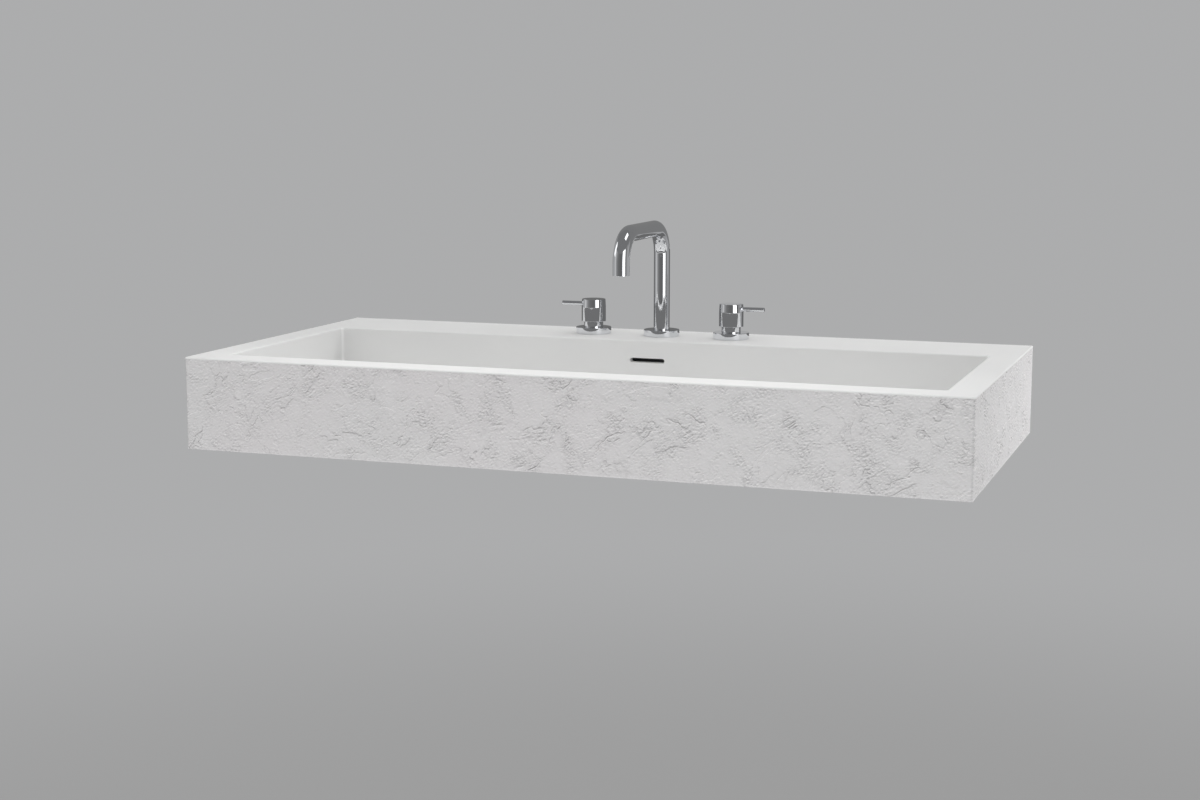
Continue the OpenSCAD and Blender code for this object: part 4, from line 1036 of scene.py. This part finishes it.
# Radiance 1 lights a surface in front of it as white paper in plain light
lamps = dict(
    keyBox=dict(place=(1.62, -1.42, 0.46), aim=(0.0, -0.2, 0.08), size=(1.6, 1.9), radiance=0.42),
    rimBox=dict(place=(0.0, -0.47, 0.25), aim=(0.0, -0.47, 0.0), size=(1.0, 0.1), radiance=1.38),
    backBox=dict(place=(0.0, 0.5, 1.0), aim=(0.0, -0.25, 0.05), size=(1.6, 0.6), radiance=1.2),
    fillBox=dict(place=(-1.7, -2.2, 0.9), aim=(0.0, -0.25, 0.05), size=(1.4, 1.4), radiance=0.75),
    lowBox=dict(place=(0.0, -2.6, -0.6), aim=(0.0, -0.4, 0.0), size=(2.4, 1.0), radiance=2.45),
    sideBox=dict(place=(1.35, 0.25, 0.12), aim=(0.52, -0.1, 0.0), size=(0.9, 1.1), radiance=2.1))
for name, lamp in lamps.items():
    light = bpy.data.lights.new(name, "AREA")
    light.shape, light.size, light.size_y = "RECTANGLE", *lamp["size"]
    light.energy = lamp["radiance"] * math.pi * light.size * light.size_y
    lightObject = bpy.data.objects.new(name, light)
    scene.collection.objects.link(lightObject)
    lightObject.location = lamp["place"]
    way = Vector(lamp["aim"]) - Vector(lamp["place"])
    lightObject.rotation_euler = way.to_track_quat("-Z", "Y").to_euler()
    lightObject.visible_camera = False
    lightObject.visible_glossy = False


# A card's path on a circle about the spout: each stop is an angle from the front and a brightness
def around(distance, *stops):
    ways = [(math.radians(angle), tone) for angle, tone in stops]
    return [(distance * math.sin(a), tapLine - distance * math.cos(a), tone) for a, tone in ways]


# Cards that only mirrors see: an upright sheet along a path, each point (x, y, brightness), between
# two heights. The overhead one lies flat, with its path along one side and its far side ahead.
cards = dict(
    leftGrey=dict(path=around(4.0, (-88, 0.42), (-74, 0.45), (-66, 0.75), (-57, 0.45), (-45, 0.32),
                              (-33, 0.22), (-17, 0.17), (10, 0.14), (30, 0.14)),
                  heights=(-1.4, 2.2)),
    whiteCard=dict(path=around(2.0, (36, 2.4), (52, 2.6), (68, 1.6)), heights=(-0.85, 1.35)),
    darkLine=dict(path=around(2.2, (66, 0.08), (78, 0.1), (84, 0.3), (100, 0.32)), heights=(-0.85, 1.35)),
    leftHigh=dict(path=[(-2.0, -0.7, 1.5), (-2.0, 0.1, 1.5)], heights=(0.5, 1.6)),
    # Painted shade in the chrome's reflections: dark sheets behind the spout and handles and lining the
    # bowl's walls
    runShadeCard=dict(path=[(-0.3, 0.004, 0.22), (0.35, 0.004, 0.22)], heights=(0.176, 0.6)),
    columnShadeCard=dict(path=[(-0.28, -0.028, 0.16), (0.053, -0.028, 0.16)], heights=(0.0565, 0.176)),
    rightShadeCard=dict(path=[(0.125, -0.028, 0.16), (0.17, -0.028, 0.16)], heights=(0.0565, 0.13)),
    bowlShadeCard=dict(path=[(-0.466, -0.13, 0.19), (-0.466, -0.4495, 0.19), (0.466, -0.4495, 0.19),
                        (0.466, -0.13, 0.19)], heights=(-0.016, 0.0525)),
    overhead=dict(path=[(0.3, -0.43, 1.9), (0.8, -0.43, 1.9)], heights=(1.45, 1.45), ahead=0.6))
studio = dict(backdrop=0.42, tint=(0.985, 0.99, 1, 1), overhead=0.22, zenith=0.93, floor=-1.55,
              floorTone=0.5, floorEdges=(0.5, 40), fadesOut=(2.2, 6.0))


# Seen by the camera, in mirrors and through glass, the surroundings are one plain grey
def seenDirectly(tree):
    rays = tree.node("ShaderNodeLightPath")
    mirrored, through = (Sock(tree, rays.socket.node.outputs[kind])
                         for kind in ("Is Glossy Ray", "Is Transmission Ray"))
    return rays.math("MAXIMUM", mirrored).math("MAXIMUM", through)


def newTree(name):
    material = bpy.data.materials.new(name)
    material.use_nodes = True
    material.node_tree.nodes.clear()
    return Tree(material.node_tree)


def makeSky():
    s = studio
    world = bpy.data.worlds.new("studio")
    scene.world = world
    world.use_nodes = True
    sky = Tree(world.node_tree)
    sky.nodeTree.nodes.clear()
    seen = seenDirectly(sky)
    way = sky.node("ShaderNodeTexCoord", out="Generated")
    height = sky.node("ShaderNodeSeparateXYZ", [way], out="Z")
    plain = s["backdrop"] - s["overhead"] * height.rise(0.2, 0.5)
    lit = s["zenith"] * height.math("MAXIMUM", 0.0)
    background = sky.node("ShaderNodeBackground", {
        "Color": sky.mix(seen, (1, 1, 1), s["tint"][:3]), "Strength": seen * plain + (1 - seen) * lit})
    sky.node("ShaderNodeOutputWorld", {"Surface": background})


# The floor: rings about the object, fading into the backdrop's grey away from it
def makeFloor():
    s = studio
    ground = newTree("studioFloor")
    ground.place = ground.node("ShaderNodeTexCoord", out="Object")
    seen = seenDirectly(ground)
    away = ground.node("ShaderNodeVectorMath", [ground.place], out="Value", operation="LENGTH")
    plain = ground.node("ShaderNodeBsdfDiffuse", {"Color": (s["floorTone"],) * 3 + (1,)})
    glow = ground.node("ShaderNodeEmission", {"Color": s["tint"], "Strength": s["backdrop"]})
    blended = ground.node("ShaderNodeMixShader", [away.rise(*s["fadesOut"]) * seen, plain, glow])
    ground.node("ShaderNodeOutputMaterial", {"Surface": blended})
    radius = np.concatenate([[0], np.geomspace(*s["floorEdges"], 24)])
    rings = turned(np.stack([radius, radius * 0], -1), 96, (0, -0.3, s["floor"]))
    floor = Mesher().grid(rings).made("floor")
    floor.data.materials.append(bpy.data.materials["studioFloor"])


def makeCards():
    for name, card in cards.items():
        x, y, tone = np.array(card["path"]).T
        rows = [np.stack([x, y + k * card.get("ahead", 0), x * 0 + z], -1)
                for k, z in enumerate(card["heights"])]
        sheet = Mesher().grid(np.array(rows), wrapColumns=False).made(name, {"tone": np.tile(tone, 2)})
        cloth = newTree(name + "Cloth")
        shine = cloth.node("ShaderNodeAttribute", out="Fac", attribute_name="tone")
        glow = cloth.node("ShaderNodeEmission", {"Color": (1, 1, 1, 1), "Strength": shine})
        cloth.node("ShaderNodeOutputMaterial", {"Surface": glow})
        sheet.data.materials.append(bpy.data.materials[name + "Cloth"])
        sheet.visible_camera = sheet.visible_diffuse = sheet.visible_shadow = False


makeSky()
makeFloor()
makeCards()
scene.view_settings.view_transform = "Standard"
print("studio made")
